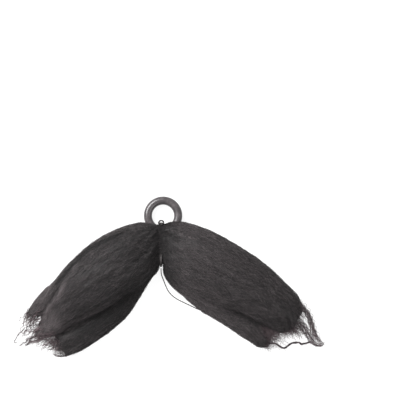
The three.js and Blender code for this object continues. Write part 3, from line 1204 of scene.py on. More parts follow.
def fibre_mesh(name: str, batches: list[Fibres]) -> bpy.types.Mesh:
    """Joins fibres into one mesh.

    Args:
        name: The mesh's name.
        batches: The fibres.

    Returns:
        A mesh with a tone for each of its points.
    """
    corners = [batch.corners() for batch in batches]
    firsts = np.cumsum([0, *map(len, corners)])
    faces = [batch.faces(first) for batch, first in zip(batches, firsts)]
    walls = np.concatenate([pair[0] for pair in faces])
    ends = np.concatenate([pair[1] for pair in faces])
    corners = np.concatenate(corners)
    tones = np.concatenate([np.repeat(batch.tone.ravel(), FIBRE_SIDES) for batch in batches])
    loops = np.concatenate((walls.ravel(), ends.ravel())).astype(np.int32)
    sizes = np.concatenate((np.full(len(walls), walls.shape[1]), np.full(len(ends), ends.shape[1])))
    starts = np.concatenate(((0,), np.cumsum(sizes)[:-1])).astype(np.int32)
    mesh = bpy.data.meshes.new(name)
    mesh.vertices.add(len(corners))
    mesh.vertices.foreach_set("co", corners.astype(np.float32).ravel())
    mesh.loops.add(len(loops))
    mesh.loops.foreach_set("vertex_index", loops)
    mesh.polygons.add(len(starts))
    mesh.polygons.foreach_set("loop_start", starts)
    mesh.update(calc_edges=True)
    shade = mesh.attributes.new("tone", "FLOAT", "POINT")
    shade.data.foreach_set("value", tones.astype(np.float32))
    mesh.shade_smooth()
    return mesh


@dataclass(frozen=True)
class Crimp:
    """The small waves of crepe hair: the least and the most of their height and length, in millimetres.

    The fibres sway from side to side, and lift off the hair less far, at a pace of their own.
    """

    height: tuple[float, float]
    length: tuple[float, float]
    lift: float = 0.5
    lift_pace: float = 0.83

    def waved(
        self, paths: np.ndarray, normals: np.ndarray, rng: np.random.Generator, scale: float = 1.0
    ) -> np.ndarray:
        """Fibres with these waves.

        Args:
            paths: Points in metres, fibres by steps by three.
            normals: The way out of the hair at each point, or one way for all.
            rng: The source of chance.
            scale: How many times the height the waves have.

        Returns:
            The waved points.
        """
        count = len(paths)
        amount = (scale * rng.uniform(*self.height, count) * MM)[:, None]
        wave = (rng.uniform(*self.length, count) * MM)[:, None]
        phase = rng.uniform(0, 2 * math.pi, (count, 2))
        turn = 2 * math.pi * run_along(paths) / wave
        sideways = unit(np.cross(unit(np.gradient(paths, axis=1)), normals))
        sway = np.sin(turn + phase[:, :1]) * amount
        lift = np.sin(self.lift_pace * turn + phase[:, 1:]) * amount * self.lift
        return paths + sideways * sway[:, :, None] + normals * lift[:, :, None]


@dataclass(frozen=True)
class FibreLook:
    """How fibres of one kind differ.

    girth is the least and the most of their radius against the usual one, differ how much their tones
    vary from fibre to fibre, and speckle how much along each.
    """

    girth: tuple[float, float]
    differ: float
    speckle: float

    def radius(self, count: int, rng: np.random.Generator) -> np.ndarray:
        """Each fibre's radius in metres."""
        return rng.uniform(*self.girth, count) * FIBRE_RADIUS * MM

    def tone(
        self, level: float | np.ndarray, count: int, steps: int, rng: np.random.Generator
    ) -> np.ndarray:
        """Tones about a level, fibres by steps."""
        return level + rng.normal(0, self.differ, (count, 1)) + rng.normal(0, self.speckle, (count, steps))


@dataclass(frozen=True)
class Ridges:
    """Soft ridges of strands: their height, size across and along the hair, and place in the noise."""

    height: float
    width: float
    run: float
    shift: float = 0.0

    def at(self, across: float, along: float, seed: int) -> float:
        """How far up a ridge a place is, from -1 to 1."""
        return noise.noise(Vector((across / self.width, along / self.run, seed + self.shift)))


COAT_CRIMP = Crimp(height=(0.12, 0.34), length=(2.8, 5.2))
CUT_CRIMP = Crimp(height=(0.08, 0.3), length=(3.0, 6.0))
STRAND_CRIMP = Crimp(height=(0.15, 0.4), length=(2.4, 4.0))
WISP_CRIMP = Crimp(height=(0.5, 1.2), length=(2.0, 3.6))
COAT_LOOK = FibreLook(girth=(0.75, 1.25), differ=0.12, speckle=0.22)
CUT_LOOK = FibreLook(girth=(0.7, 1.2), differ=0.16, speckle=0.2)
WISP_LOOK = FibreLook(girth=(0.8, 1.3), differ=0.12, speckle=0.15)
BROAD_RIDGES = Ridges(height=0.42, width=2.6, run=16.0)
FINE_RIDGES = Ridges(height=0.16, width=0.9, run=7.0, shift=7.0)


@dataclass
class HairTuft:
    """One tuft of the moustache: a core of fused locks, a coat of fibres, cut ends and loose wisps.

    tone and tip_tone are how light the hair is near the tie and at its end, and tone_span where the one
    becomes the other: a painted gradient of light and shade, lighter where the tuft faces the light.
    tie_dark is how much darker it is at the tie, painted shade in the valley where the thread draws it in,
    and tie_shadow how far that reaches. The seams are where two locks meet, and seam_dark is the painted
    shade along them. ridge_tone is the painted light on the ridges' crests and painted shade in their
    hollows.
    Sizes are in millimetres.
    """

    name: str
    node: str
    locks: tuple[Lock, ...]
    folds: tuple[Fold, ...]
    wisps: tuple[Wisp, ...]
    seed: int
    coat_fibres: int
    tone: float
    tip_tone: float
    tie_dark: float
    tie_shadow: float = 6.0
    tone_span: tuple[float, float] = (8.0, 48.0)
    mottles: tuple[tuple[float, float], ...] = ((0.18, 260.0), (0.15, 800.0))
    inset: float = 0.15
    core_sides: int = 32
    core_steps: int = 30
    voxel: float = 0.45
    smooth_factor: float = 0.5
    smooth_rounds: int = 3
    seam_reach: float = 4.0
    seam_rounds: int = 50
    seam_width: float = 1.2
    seam_depth: float = 0.1
    seam_dark: float = 0.12
    groove_share: float = 0.24
    groove_reach: float = 2.4
    fold_steepness: float = 3.0
    core_tone: float = 0.25
    ridge_tone: float = 0.35
    strand_stretch: float = 0.5
    core_gap: float = 0.05
    fibre_gap: float = 0.08
    overlap: float = 1.4
    tie_margin: float = 0.2
    trace_step: float = 1.3
    under_facing: float = -0.3
    under_share: float = 0.2
    coat_steps: int = 10
    fewest_points: int = 3
    coat_length: tuple[float, float] = (6.0, 12.0)
    coat_skew: float = math.radians(15.0)
    coat_height: tuple[float, float] = (0.02, 0.3)
    loose_share: float = 0.03
    loose_height: tuple[float, float] = (0.3, 0.6)
    cut_steps: int = 10
    cut_root: tuple[float, float] = (0.15, 0.02)
    cut_fill: float = 0.9
    cut_uneven: float = 0.6
    cut_height: tuple[float, float] = (0.5, 1.2)
    cut_sag: float = 1.3
    strand_fibres: int = 4
    bundle_width: float = 0.06
    bundle_spread: tuple[float, float] = (1.2, 0.8)
    wisp_step: float = 0.55
    wisp_steps: tuple[int, int] = (10, 48)
    wisp_late: float = 0.12
    wisp_wander: float = 0.2
    wisp_flat: float = 0.4
    most_triangles: int = 150000

    def __post_init__(self) -> None:
        """Starts the source of chance and maps the lie of the hair."""
        self.rng = np.random.default_rng(self.seed)
        self.flow = FlowField(self.locks)

    def build(self) -> None:
        """Makes and dresses every piece of the tuft."""
        core = self.build_core()
        dress(core, HAIR_CORE.material(), (self.node,))
        self.grow_coat(core)
        tip_material = HAIR_TIP.material()
        self.grow_fringe(tip_material)
        self.finish_fibres("wisps", [self.draw_wisp(wisp) for wisp in self.wisps], tip_material)

    def side(self) -> int:
        """Which side of the tie the tuft lies on: -1 for left, 1 for right."""
        return 1 if self.locks[0].rows[-1].x > 0 else -1

    def fuse(self) -> bmesh.types.BMesh:
        """Lofts the locks, fuses them into one skin and cuts it off at the tie.

        Returns:
            The closed skin.
        """
        bm = bmesh.new()
        for lock in self.locks:
            share = np.linspace(0, lock.solid, self.core_steps)
            skin(bm, lock.surface(share, around(self.core_sides), self.inset))
        bmesh.ops.recalc_face_normals(bm, faces=bm.faces)
        raw = mesh_object(f"{self.name}_locks", bm)
        remesh = raw.modifiers.new("fuse", "REMESH")
        remesh.mode = "VOXEL"
        remesh.voxel_size = self.voxel * MM
        graph = bpy.context.evaluated_depsgraph_get()
        meshes = (raw.data, bpy.data.meshes.new_from_object(raw.evaluated_get(graph)))
        bm = bmesh.new()
        bm.from_mesh(meshes[1])
        bpy.data.objects.remove(raw)
        for spent in meshes:
            bpy.data.meshes.remove(spent)
        bmesh.ops.bisect_plane(
            bm,
            geom=[*bm.verts, *bm.edges, *bm.faces],
            plane_co=(TIE[0], 0, 0),
            plane_no=(-self.side(), 0, 0),
            clear_outer=True,
        )
        open_edges = [edge for edge in bm.edges if edge.is_boundary]
        bmesh.ops.holes_fill(bm, edges=open_edges)
        for edge in open_edges:
            edge.smooth = False
        return bm

    def build_core(self) -> bpy.types.Object:
        """Softens the fused locks' seams and raises the ridges of their strands.

        Returns:
            The core as an object.
        """
        bm = self.fuse()
        seams = [vert for vert in bm.verts if self.flow.nearest(vert.co)[1] < self.seam_reach]
        for verts in (*[bm.verts] * self.smooth_rounds, *[seams] * self.seam_rounds):
            bmesh.ops.smooth_vert(
                bm,
                verts=verts,
                factor=self.smooth_factor,
                use_axis_x=False,
                use_axis_y=False,
                use_axis_z=True,
            )
        bm.normal_update()
        strand = bm.verts.layers.float_vector.new("strand")
        tone = bm.verts.layers.float.new("tone")
        sunk, shaded = self.fold_at(np.array([vert.co for vert in bm.verts]))
        for vert, hollow, shade in zip(bm.verts, sunk, shaded):
            sample, apart = self.flow.nearest(vert.co)
            along, across = self.flow.alongs[sample], self.flow.acrosses[sample]
            broad = BROAD_RIDGES.at(across, along, self.seed)
            fine = FINE_RIDGES.at(across, along, self.seed)
            seam = math.exp(-apart / self.seam_width)
            hollow *= min(max(vert.normal.z * self.fold_steepness, 0.0), 1.0)
            ridge = BROAD_RIDGES.height * broad + FINE_RIDGES.height * fine
            raised = ridge - self.seam_depth * seam - hollow
            vert.co += vert.normal * raised * MM
            vert.co.z = max(self.grooved(vert.co), self.core_gap * MM)
            vert[strand] = (along * self.strand_stretch, across, 0.0)
            # the tone is painted light on the ridges' crests, painted shade in their hollows and along the
            # seams, plus the painted light and shade of the folds, the tie and the lock
            lighter = shade + self.flow.shades[sample]
            vert[tone] = self.core_tone + self.ridge_tone * broad - self.seam_dark * seam + lighter
        bmesh.ops.recalc_face_normals(bm, faces=bm.faces)
        return mesh_object(f"{self.name}_core", bm)

    def grooved(self, place: Vector) -> float:
        """How high a place on the hair is once the thread has drawn it in at the tie.

        Args:
            place: The place before that, in metres.

        Returns:
            Its height in metres.
        """
        away = (place.x - TIE[0]) / MM / self.groove_reach
        rise = place.z - WAIST_UNDER * MM
        return place.z - max(rise, 0.0) * self.groove_share * math.exp(-(away**2))

    def fold_at(self, points: np.ndarray) -> tuple[np.ndarray, np.ndarray]:
        """What the folds and the tie do to the hair.

        Args:
            points: Places in metres, one row each.

        Returns:
            How far the hair sinks at each place, in millimetres, and how much lighter it is painted:
            mostly painted shade at the tie and in creases, and painted light on ridges.
        """
        places = (points[:, :2] - TIE[:2]) / MM
        sunk = np.zeros(len(places))
        # painted shade at the tie, where the thread draws the hair into a valley
        shade = -self.tie_dark * np.exp(-((places[:, 0] / self.tie_shadow) ** 2))
        # each fold adds its shade: painted shade in a crease, painted light on a ridge
        for fold in self.folds:
            strength = fold.strength(places)
            sunk += fold.depth * strength
            shade += fold.shade * strength
        return sunk, shade

    def trace(
        self, tree: BVHTree, start: Vector, length: float, skew: float, way: int
    ) -> tuple[list[Vector], list[Vector]]:
        """Follows the lie of the hair over the core from a point.

        Args:
            tree: The core's surface.
            start: The first point, on the surface.
            length: How far to go, in metres.
            skew: How far the fibre strays from the lie of the hair, in radians.
            way: 1 towards the cut end or -1 towards the tie.

        Returns:
            The points, and the way out of the hair at each.
        """
        step = self.trace_step * MM
        point, normal, _, _ = tree.find_nearest(start)
        points, normals = [point], [normal]
        beyond = False
        # a fibre runs one or two steps past the core's end
        spare_steps = 1 + round(length / MM) % 2
        for _ in range(max(1, round(length / step))):
            sample, _ = self.flow.nearest(point)
            beyond = beyond or bool(self.flow.beyond[sample])
            along = Vector(self.flow.ways[sample]) * way
            along.rotate(Matrix.Rotation(skew, 3, normal))
            ahead = point + along * step
            if way < 0 and (ahead.x - TIE[0]) * self.side() < self.tie_margin * MM:
                points.append(Vector((TIE[0] - self.side() * self.overlap * MM, point.y, point.z)))
                normals.append(normal)
                break
            if way > 0 and beyond:
                if not spare_steps:
                    break
                spare_steps -= 1
                point = ahead
            else:
                point, normal, _, _ = tree.find_nearest(ahead)
            points.append(point)
            normals.append(normal)
        return points, normals

    def scatter(self, mesh: bpy.types.Mesh) -> np.ndarray:
        """Picks places over the core, fewer of them on its underside.

        Args:
            mesh: The core's mesh.

        Returns:
            Points in metres, one row for each fibre of the coat.
        """
        mesh.calc_loop_triangles()
        corners = np.zeros(len(mesh.vertices) * 3, np.float32)
        mesh.vertices.foreach_get("co", corners)
        triangles = np.zeros(len(mesh.loop_triangles) * 3, np.int32)
        mesh.loop_triangles.foreach_get("vertices", triangles)
        faces = corners.reshape(-1, 3)[triangles.reshape(-1, 3)]
        cross = np.cross(faces[:, 1] - faces[:, 0], faces[:, 2] - faces[:, 0])
        area = np.linalg.norm(cross, axis=1)
        seen = cross[:, 2] / np.maximum(area, 1e-15) > self.under_facing
        weight = area * np.where(seen, 1.0, self.under_share)
        picks = self.rng.choice(len(faces), self.coat_fibres, p=weight / weight.sum())
        blend = self.rng.dirichlet((1, 1, 1), self.coat_fibres)
        return (faces[picks] * blend[:, :, None]).sum(axis=1)

    def grow_coat(self, core: bpy.types.Object) -> None:
        """Covers the core with fibres that lie along it.

        Args:
            core: The tuft's core.
        """
        rng = self.rng
        tree = BVHTree.FromObject(core, bpy.context.evaluated_depsgraph_get())
        starts = self.scatter(core.data)
        lengths = rng.uniform(*self.coat_length, self.coat_fibres) * MM
        skews = rng.normal(0.0, self.coat_skew, self.coat_fibres)
        spots = np.linspace(0, 1, self.coat_steps)
        paths, outs, tones = [], [], []
        for start, length, skew in zip(starts, lengths, skews):
            back, back_out = self.trace(tree, Vector(start), length / 2, skew, -1)
            onward, onward_out = self.trace(tree, Vector(start), length / 2, skew, 1)
            points = np.array([*back[:0:-1], *onward])
            out = np.array([*back_out[:0:-1], *onward_out])
            if len(points) < self.fewest_points:
                continue
            run = run_along(points)
            run /= run[-1]
            paths.append(resampled(points, run, spots))
            outs.append(resampled(out, run, spots))
            tones.append(self.seam_tone(Vector(start)))
        paths, outs = np.array(paths), unit(np.array(outs))
        count = len(paths)
        loose = rng.random(count) < self.loose_share
        heights = (rng.uniform(*self.loose_height, count), rng.uniform(*self.coat_height, count))
        height = np.where(loose, *heights) * MM
        arch = np.interp(spots, *COAT_ARCH)
        paths = paths + outs * (height[:, None] * arch[None, :])[:, :, None]
        paths = COAT_CRIMP.waved(paths, outs, rng)
        radius = COAT_LOOK.radius(count, rng)
        # the coat's tone carries the painted light and shade of the locks, the seams, the folds and the tie
        tone = COAT_LOOK.tone(np.array(tones)[:, None], count, self.coat_steps, rng)
        tone += self.coat_tone(paths.reshape(-1, 3)).reshape(count, -1)
        coat = Fibres(paths, radius, np.clip(tone, 0, MOST_TONE))
        self.finish_fibres("coat", [coat], HAIR_FIBRE.material())

    def seam_tone(self, place: Vector) -> float:
        """How much lighter a place is painted for the lock that it lies on, and the painted shade beside a
        seam.
        """
        sample, apart = self.flow.nearest(place)
        return float(self.flow.shades[sample]) - self.seam_dark * math.exp(-apart / self.seam_width)

    def coat_tone(self, points: np.ndarray) -> np.ndarray:
        """How light the hair is from the tie to its end, as a painted gradient of light and shade, with the
        painted light and shade of the folds and the tie, and soft mottling.

        Args:
            points: Places on the coat in metres, one row each.

        Returns:
            A tone from about 0 to 1 for each place.
        """
        near, far = self.tone_span
        share = np.clip((np.abs(points[:, 0] - TIE[0]) / MM - near) / (far - near), 0, 1)
        level = self.tone + (self.tip_tone - self.tone) * share
        mottle = [
            sum(depth * noise.noise(Vector(point) * scale) for depth, scale in self.mottles)
            for point in points
        ]
        return level + np.array(mottle) + self.fold_at(points)[1]

    def cut_end(self, lock: Lock, count: int) -> np.ndarray:
        """Lines that run on from inside a lock to where it was cut.

        Args:
            lock: The lock.
            count: How many lines.

        Returns:
            Points in metres, lines by steps by three.
        """
        rng = self.rng
        begin = rng.uniform(lock.solid - self.cut_root[0], lock.solid - self.cut_root[1], count)
        angle = rng.uniform(0, 2 * math.pi, count)
        depth = np.sqrt(rng.random(count)) * self.cut_fill
        last = lock.rows[-1]
        across = np.cos(angle) * depth
        aim = math.radians(last.facing)
        axis = np.array((math.cos(aim), math.sin(aim)))
        sideways = np.array((-math.sin(aim), math.cos(aim)))
        x, y, facing, _, top, under = lock.columns(begin)
        leave = np.stack((np.cos(np.radians(facing)), np.sin(np.radians(facing))), -1)
        start = np.stack([lock.surface(begin[k : k + 1], angle[k : k + 1])[0, 0] for k in range(count)])
        middle = from_tie(np.stack((x, y, under + BELLY * (top - under)), -1))
        start = middle + (start - middle) * depth[:, None]
        cut = from_tie(np.array((last.x, last.y, 0.0)))[:2]
        ragged = rng.normal(0, self.cut_uneven, count) * lock.fray * MM
        aside = across * last.half * np.where(across < 0, *lock.flare) * MM
        finish = cut + ragged[:, None] * axis + aside[:, None] * sideways
        far = np.linalg.norm(finish - start[:, :2], axis=1)
        turn = start[:, :2] + leave * far[:, None] / 2
        share = np.linspace(0, 1, self.cut_steps)[None, :, None]
        flat = (
            (1 - share) ** 2 * start[:, None, :2]
            + 2 * share * (1 - share) * turn[:, None, :]
            + share**2 * finish[:, None, :]
        )
        low = start[:, 2] / (top * MM) * last.top * rng.uniform(*self.cut_height, count) * MM
        rise = start[:, None, 2] + (low - start[:, 2])[:, None] * share[:, :, 0] ** self.cut_sag
        return np.concatenate((flat, rise[:, :, None]), axis=2)

    def bundle(self, lines: np.ndarray, fibres: int) -> np.ndarray:
        """Fine fibres that keep close to each line.

        Args:
            lines: Points in metres, lines by steps by three.
            fibres: How many fibres follow each line.

        Returns:
            Points in metres, fibres by steps by three.
        """
        count, steps, _ = lines.shape
        spread = np.linspace(*self.bundle_spread, steps)[None, :, None]
        offset = self.rng.normal(0, self.bundle_width * MM, (count * fibres, 1, 3))
        return np.repeat(lines, fibres, axis=0) + offset * spread

    def loose_fibres(self, paths: np.ndarray, level: float, look: FibreLook) -> Fibres:
        """Fibres that grow lighter to their tips.

        Args:
            paths: Points in metres, fibres by steps by three.
            level: Their tone.
            look: How they differ.

        Returns:
            The fibres.
        """
        count, steps, _ = paths.shape
        radius = look.radius(count, self.rng)
        tone = look.tone(level, count, steps, self.rng) * np.linspace(*TIP_FADE, steps)
        return Fibres(paths, radius, np.clip(tone, 0, 1))

    def grow_fringe(self, material: bpy.types.Material) -> None:
        """Fills each lock's cut end with loose ends and strands of uneven length.

        Args:
            material: Their finish.
        """
        batches = []
        for lock in self.locks:
            batches.append(CUT_CRIMP.waved(self.cut_end(lock, lock.fringe), UP, self.rng))
            lines = STRAND_CRIMP.waved(self.cut_end(lock, lock.strands), UP, self.rng)
            batches.append(self.bundle(lines, self.strand_fibres))
        fringe = self.loose_fibres(np.concatenate(batches), self.tip_tone, CUT_LOOK)
        self.finish_fibres("fringe", [fringe], material)

    def draw_wisp(self, wisp: Wisp) -> Fibres:
        """Makes the fibres of one wisp.

        Args:
            wisp: Its route and how its strands lie.

        Returns:
            The fibres.
        """
        rng = self.rng
        route = from_tie(VIEW.sighted(np.array(wisp.route)))
        steps = int(np.clip(round(path_length(route) / MM / self.wisp_step), *self.wisp_steps))
        low = rng.uniform(0.0, self.wisp_late, wisp.strands)
        high = 1.0 - rng.uniform(0.0, wisp.ragged, wisp.strands)
        high[0] = 1.0
        lines = np.stack([smooth_rows(route, np.linspace(a, b, steps)) for a, b in zip(low, high)])
        spread = np.linspace(*wisp.spread, steps)[None, :, None] * MM
        drift = rng.uniform(-1, 1, (wisp.strands, 1, 3)) * np.array((1.0, 1.0, self.wisp_flat))
        wander = rng.normal(0, self.wisp_wander, (wisp.strands, 1, 3))
        lines = lines + (drift + wander * np.linspace(-1, 1, steps)[None, :, None]) * spread
        turn = rng.normal(0, wisp.astray, wisp.strands)[:, None]
        reach = lines - lines[:, :1]
        lines[:, :, 0] += (np.cos(turn) - 1) * reach[:, :, 0] - np.sin(turn) * reach[:, :, 1]
        lines[:, :, 1] += (np.cos(turn) - 1) * reach[:, :, 1] + np.sin(turn) * reach[:, :, 0]
        paths = self.bundle(WISP_CRIMP.waved(lines, UP, rng, wisp.crimp), wisp.fibres)
        return self.loose_fibres(paths, self.tip_tone + wisp.tone, WISP_LOOK)

    def finish_fibres(self, kind: str, batches: list[Fibres], material: bpy.types.Material) -> None:
        """Turns fibres into pieces of no more than so many triangles each.

        Args:
            kind: What the fibres are, for the pieces' names.
            batches: The fibres.
            material: The fibres' finish.
        """
        for batch in batches:
            batch.paths[:, :, 2] = np.maximum(batch.paths[:, :, 2], self.fibre_gap * MM)
        groups = math.ceil(sum(batch.triangles() for batch in batches) / self.most_triangles)
        for number in range(groups):
            name = f"{self.name}_{kind}" + (f"_{number + 1}" if groups > 1 else "")
            mesh = fibre_mesh(name, [batch.share(number, groups) for batch in batches])
            dress(add_object(name, mesh), material)


@dataclass
class NoseRing:
    """The moulded ring: a round bar with the faint seam of its mould.

    seam is how far the seam stands out, and seam_band how much of the bar's height it takes on each side.
    """

    bore: float = RING_BORE
    bar: float = RING_BAR
    lift: float = RING_LIFT
    seam: float = 0.05
    seam_band: float = 0.1
    sides: int = 40
    steps: int = 144
    merge: float = 0.001

    def build(self) -> None:
        """Spins the bar's section into the ring and lays it in its place."""
        mean = (self.bore + self.bar) / 2
        bm = bmesh.new()
        section = bmesh.ops.create_circle(bm, segments=self.sides, radius=self.bar / 2 * MM)["verts"]
        for vert in section:
            level = abs(vert.co.y) / (self.bar / 2 * MM)
            vert.co.x += math.copysign(self.seam * MM, vert.co.x) * max(0.0, 1 - level / self.seam_band)
        bmesh.ops.rotate(bm, verts=section, matrix=Matrix.Rotation(math.pi / 2, 3, "X"))
        bmesh.ops.translate(bm, verts=section, vec=(mean * MM, 0, 0))
        bmesh.ops.spin(
            bm,
            geom=[*bm.verts, *bm.edges],
            cent=(0, 0, 0),
            axis=(0, 0, 1),
            angle=2 * math.pi,
            steps=self.steps,
            use_merge=True,
        )
        bmesh.ops.remove_doubles(bm, verts=bm.verts, dist=self.merge * MM)
        bmesh.ops.recalc_face_normals(bm, faces=bm.faces)
        tilt = math.asin(self.lift / (2 * mean))
        bmesh.ops.rotate(bm, verts=bm.verts, matrix=Matrix.Rotation(-tilt, 3, "X"))
        place = from_tie(np.array((*RING_FROM_TIE, self.bar / 2 + mean * math.sin(tilt))))
        bmesh.ops.translate(bm, verts=bm.verts, vec=place)
        ring = mesh_object("moulded_ring", bm)
        dress(ring, RING_PLASTIC.material(), ("nose_ring",))


@dataclass
class TwistedThread:
    """Two-ply thread swept along routes: each ply shows as one side of a section that turns as it runs.

    pitch is the length of one turn, waist how narrow the section is between its plies, and spacing how
    far apart the sections are. The thread has a painted highlight about a place below the middle of the
    tie, for a set reach to each side.
    """

    diameter: float = THREAD
    pitch: float = 1.3
    waist: float = 0.72
    spacing: float = 0.2
    sides: int = 14
    route_samples: int = 1500
    fewest_sections: int = 8
    steep: float = 0.9
    # where the painted highlight on the thread lies, in millimetres from the tie, and how far it reaches to
    # each side
    glint_place: float = -5.8
    glint_reach: float = 1.6

    def sweep(self, bm: bmesh.types.BMesh, route: np.ndarray, closed: bool = False) -> np.ndarray:
        """Adds thread along a smooth route.

        Args:
            bm: The mesh being made.
            route: Points in millimetres from the tie.
            closed: True where the thread runs back into its own start.

        Returns:
            The evenly spaced points that the thread passes through, in metres.
        """
        path = self.path(route, closed)
        along = unit(np.gradient(path, axis=0))
        if closed:
            along = unit(np.roll(path, -1, axis=0) - np.roll(path, 1, axis=0))
        run = run_along(path)
        turns = run[-1] / (self.pitch * MM)
        if closed:
            turns = round(turns)
        twists = math.pi * turns * run / run[-1]
        skin(bm, self.rings(path, along, twists), closed)
        return path

    def rings(self, path: np.ndarray, along: np.ndarray, twists: np.ndarray) -> list[np.ndarray]:
        """The thread's sections.

        Args:
            path: Points in metres.
            along: The way that the thread runs at each.
            twists: How far its plies have turned there, in radians.

        Returns:
            A ring of points in metres for each point of the path.
        """
        angle = np.arange(self.sides) * 2 * math.pi / self.sides
        level_start = abs(along[0][2]) < self.steep
        side = unit(np.cross(along[0], UP if level_start else np.array((1.0, 0, 0))))
        rings = []
        for point, way, twist in zip(path, along, twists):
            side = unit(side - way * (side @ way))
            up = np.cross(way, side)
            reach = self.diameter / 2 * MM * (self.waist + (1 - self.waist) * np.abs(np.cos(angle - twist)))
            spokes = np.cos(angle)[:, None] * side + np.sin(angle)[:, None] * up
            rings.append(point + reach[:, None] * spokes)
        return rings

    def path(self, route: np.ndarray, closed: bool) -> np.ndarray:
        """Evenly spaced points along a smooth route.

        Args:
            route: Points in millimetres from the tie.
            closed: True where the route runs back to its first point.

        Returns:
            The points in metres.
        """
        dense = from_tie(smooth_rows(route, np.linspace(0, 1, self.route_samples), closed))
        run = run_along(dense)
        count = max(self.fewest_sections, round(run[-1] / (self.spacing * MM)))
        return resampled(dense, run, np.linspace(0, run[-1], count, endpoint=not closed))

    def finish(self, bm: bmesh.types.BMesh, name: str, dull: float, glint: float = 0.0) -> bpy.types.Object:
        """Closes a thread mesh and makes it an object.

        Args:
            bm: The mesh being made, which is freed.
            name: The piece's name.
            dull: The thread's tone.
            glint: How much lighter the painted highlight makes the thread, below the middle of the tie.

        Returns:
            The thread as an object with a tone for each of its points.
        """
        bmesh.ops.recalc_face_normals(bm, faces=bm.faces)
        tone = bm.verts.layers.float.new("tone")
        for vert in bm.verts:
            # a painted highlight on the thread below the middle of the tie
            away = ((vert.co.y - TIE[1]) / MM - self.glint_place) / self.glint_reach
            vert[tone] = dull + glint * math.exp(-(away**2))
        return mesh_object(name, bm)


WRAP_ROUTE = (
    (0.0, 5.9),
    (5.4, 5.3),
    (8.6, 5.4),
    (WAIST_HALF + 0.5, 4.4),
    (8.6, 2.0),
    (7.4, 0.7),
    (5.9, 0.38),
    (4.2, 0.8),
    (1.6, 2.0),
    (-3.0, WAIST_UNDER - 0.55),
    (-7.2, 2.8),
    (-WAIST_HALF - 0.3, 4.6),
    (-7.9, 6.3),
    (-5.2, 7.5),
)
BOW_ROUTE = (
    (-0.1, 8.8, 6.4),
    (-0.8, 9.0, 6.7),
    (-0.8, 9.8, 6.9),
    (0.1, 10.3, 6.9),
    (1.0, 9.9, 6.9),
    (1.1, 9.2, 6.7),
    (0.5, 8.8, 6.4),
)
KNOT_PLACE = (0.0, 8.9, 6.3)
TAIL_DROP = (
    (0.0, -9.9, 4.4),
    (0.0, -10.9, 3.7),
    (0.1, -12.4, 2.4),
    (0.5, -13.8, 1.3),
    (1.0, -15.1, 0.6),
    (1.5, -16.5, 0.3),
)
TAIL_LEVEL = 0.25
TAIL_RUN = (
    (2.1, -17.9), (2.9, -19.5), (4.1, -21.0), (5.6, -22.3), (7.4, -23.4), (9.4, -24.4), (11.3, -25.3),
    (13.2, -26.2), (15.1, -27.1), (17.2, -27.8), (19.4, -28.2), (21.6, -28.5), (24.0, -28.6),
)


@dataclass
class TieThread:
    """The thread about the waist: two turns side by side, a knot and the small loop above it."""

    turns: int = 2
    loop_thread: float = 0.68
    knot_reach: float = 0.3
    knot_points: int = 24
    knot_rise: float = 1.6
    knot_squash: tuple[float, float, float] = (0.8, 0.5, 0.5)
    dull: float = 0.06
    # how much lighter the painted highlight makes the wraps
    glint: float = 0.35

    def build(self) -> None:
        """Makes the turns, the knot and the loop as one piece."""
        thread = TwistedThread()
        bm = bmesh.new()
        for turn in range(self.turns):
            x = (turn - (self.turns - 1) / 2) * THREAD
            thread.sweep(bm, np.array([(x, y, z) for y, z in WRAP_ROUTE]), closed=True)
        stout = TwistedThread(diameter=self.loop_thread)
        stout.sweep(bm, np.array(BOW_ROUTE))
        stout.sweep(bm, self.knot_route(), closed=True)
        piece = thread.finish(bm, "tie_wraps", self.dull, self.glint)
        dress(piece, THREAD_FIBRE.material(), ("tie_thread",))

    def knot_route(self) -> np.ndarray:
        """An overhand knot's turns about its place.

        Returns:
            Points in millimetres from the tie.
        """
        turn = around(self.knot_points)
        x = np.sin(turn) + 2 * np.sin(2 * turn)
        y = np.cos(turn) - 2 * np.cos(2 * turn)
        z = -self.knot_rise * np.sin(3 * turn)
        return np.array(KNOT_PLACE) + np.stack((x, y, z), -1) * self.knot_reach * np.array(self.knot_squash)


@dataclass
class ThreadTail:
    """The thread's free end, from the tie over the floor and in under the right tuft."""

    dull: float = 0.35

    def build(self) -> None:
        thread = TwistedThread()
        bm = bmesh.new()
        path = thread.sweep(bm, np.array((*TAIL_DROP, *((x, y, TAIL_LEVEL) for x, y in TAIL_RUN))))
        piece = thread.finish(bm, "tail_thread", self.dull)
        dress(piece, THREAD_FIBRE.material(), ("thread_tail",))


@dataclass(frozen=True)
class SoftLight:
    """One soft box: its place in millimetres from the tie, its size and its power."""

    name: str
    place: tuple[float, float, float]
    size: tuple[float, float]
    power: float


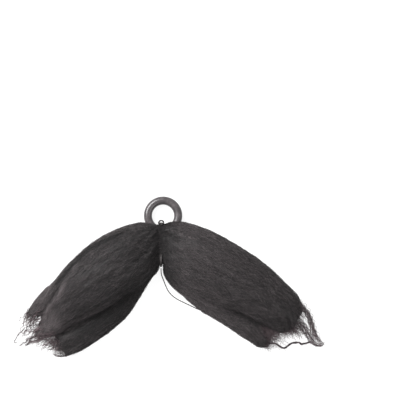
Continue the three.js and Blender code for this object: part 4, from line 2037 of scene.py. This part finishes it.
@dataclass
class Studio:
    """The pale floor, the soft light and the camera straight above."""

    floor_half: float = 3.0
    floor_tone: float = 0.15
    floor_glow: float = 0.87
    floor_roughness: float = 0.9
    sky_strength: float = 0.85
    lights: tuple[SoftLight, ...] = (
        SoftLight("key_box", (-355, 330, 410), (440, 340), 11.5),
        SoftLight("fill_box", (480, -260, 620), (600, 600), 3.0),
    )

    def build(self) -> None:
        """Makes the stage."""
        self.make_floor()
        self.make_world()
        for light in self.lights:
            self.make_light(light)
        self.make_camera()
        bpy.context.scene.view_settings.view_transform = "Standard"

    def make_floor(self) -> None:
        """Lays the floor under the part."""
        bm = bmesh.new()
        bmesh.ops.create_grid(bm, x_segments=1, y_segments=1, size=self.floor_half)
        floor = mesh_object("floor", bm)
        material, graph, shader = new_material("floor_paper")
        inputs = {
            "Base Color": (*[self.floor_tone] * 3, 1),
            "Roughness": self.floor_roughness,
            "Specular IOR Level": 0.0,
            "Emission Color": WHITE,
            "Emission Strength": self.floor_glow,
        }
        graph.feed(shader, inputs)
        floor.data.materials.append(material)

    def make_world(self) -> None:
        """Sets an even white surround."""
        world = bpy.data.worlds.new("studio_white")
        world.use_nodes = True
        graph = NodeGraph(world.node_tree)
        graph.feed(world.node_tree.nodes["Background"], {"Color": WHITE, "Strength": self.sky_strength})
        bpy.context.scene.world = world

    def make_light(self, light: SoftLight) -> None:
        """Hangs one soft box and turns it to the tie.

        Args:
            light: Its place, size and power.
        """
        lamp = bpy.data.lights.new(light.name, "AREA")
        lamp.shape = "RECTANGLE"
        lamp.size = light.size[0] * MM
        lamp.size_y = light.size[1] * MM
        lamp.energy = light.power
        box = add_object(light.name, lamp)
        box.location = from_tie(np.array(light.place))
        aim = Vector(TIE) - box.location
        box.rotation_euler = aim.to_track_quat("-Z", "Y").to_euler()

    def make_camera(self) -> None:
        """Puts the camera above the point that the middle of the frame shows."""
        data = bpy.data.cameras.new("camera")
        data.lens = VIEW.lens
        data.sensor_width = VIEW.sensor
        camera = add_object("camera", data)
        camera.location = from_tie(VIEW.place())
        bpy.context.scene.camera = camera


def main() -> None:
    """Builds the stage and every piece of the moustache."""
    logging.basicConfig(level=logging.INFO, format="%(name)s %(message)s")
    Studio().build()
    ThreadTail().build()
    TieThread().build()
    NoseRing().build()
    HairTuft(
        "left",
        "left_tuft",
        LEFT_LOCKS,
        LEFT_FOLDS,
        LEFT_WISPS,
        seed=11,
        coat_fibres=4100,
        tone=0.18,
        tip_tone=0.46,
        tie_dark=0.32,
        tie_shadow=8.0,
    ).build()
    HairTuft(
        "right",
        "right_tuft",
        RIGHT_LOCKS,
        RIGHT_FOLDS,
        RIGHT_WISPS,
        seed=23,
        coat_fibres=4300,
        tone=0.66,
        tip_tone=0.35,
        tie_dark=0.95,
    ).build()


if __name__ == "__main__":
    main()
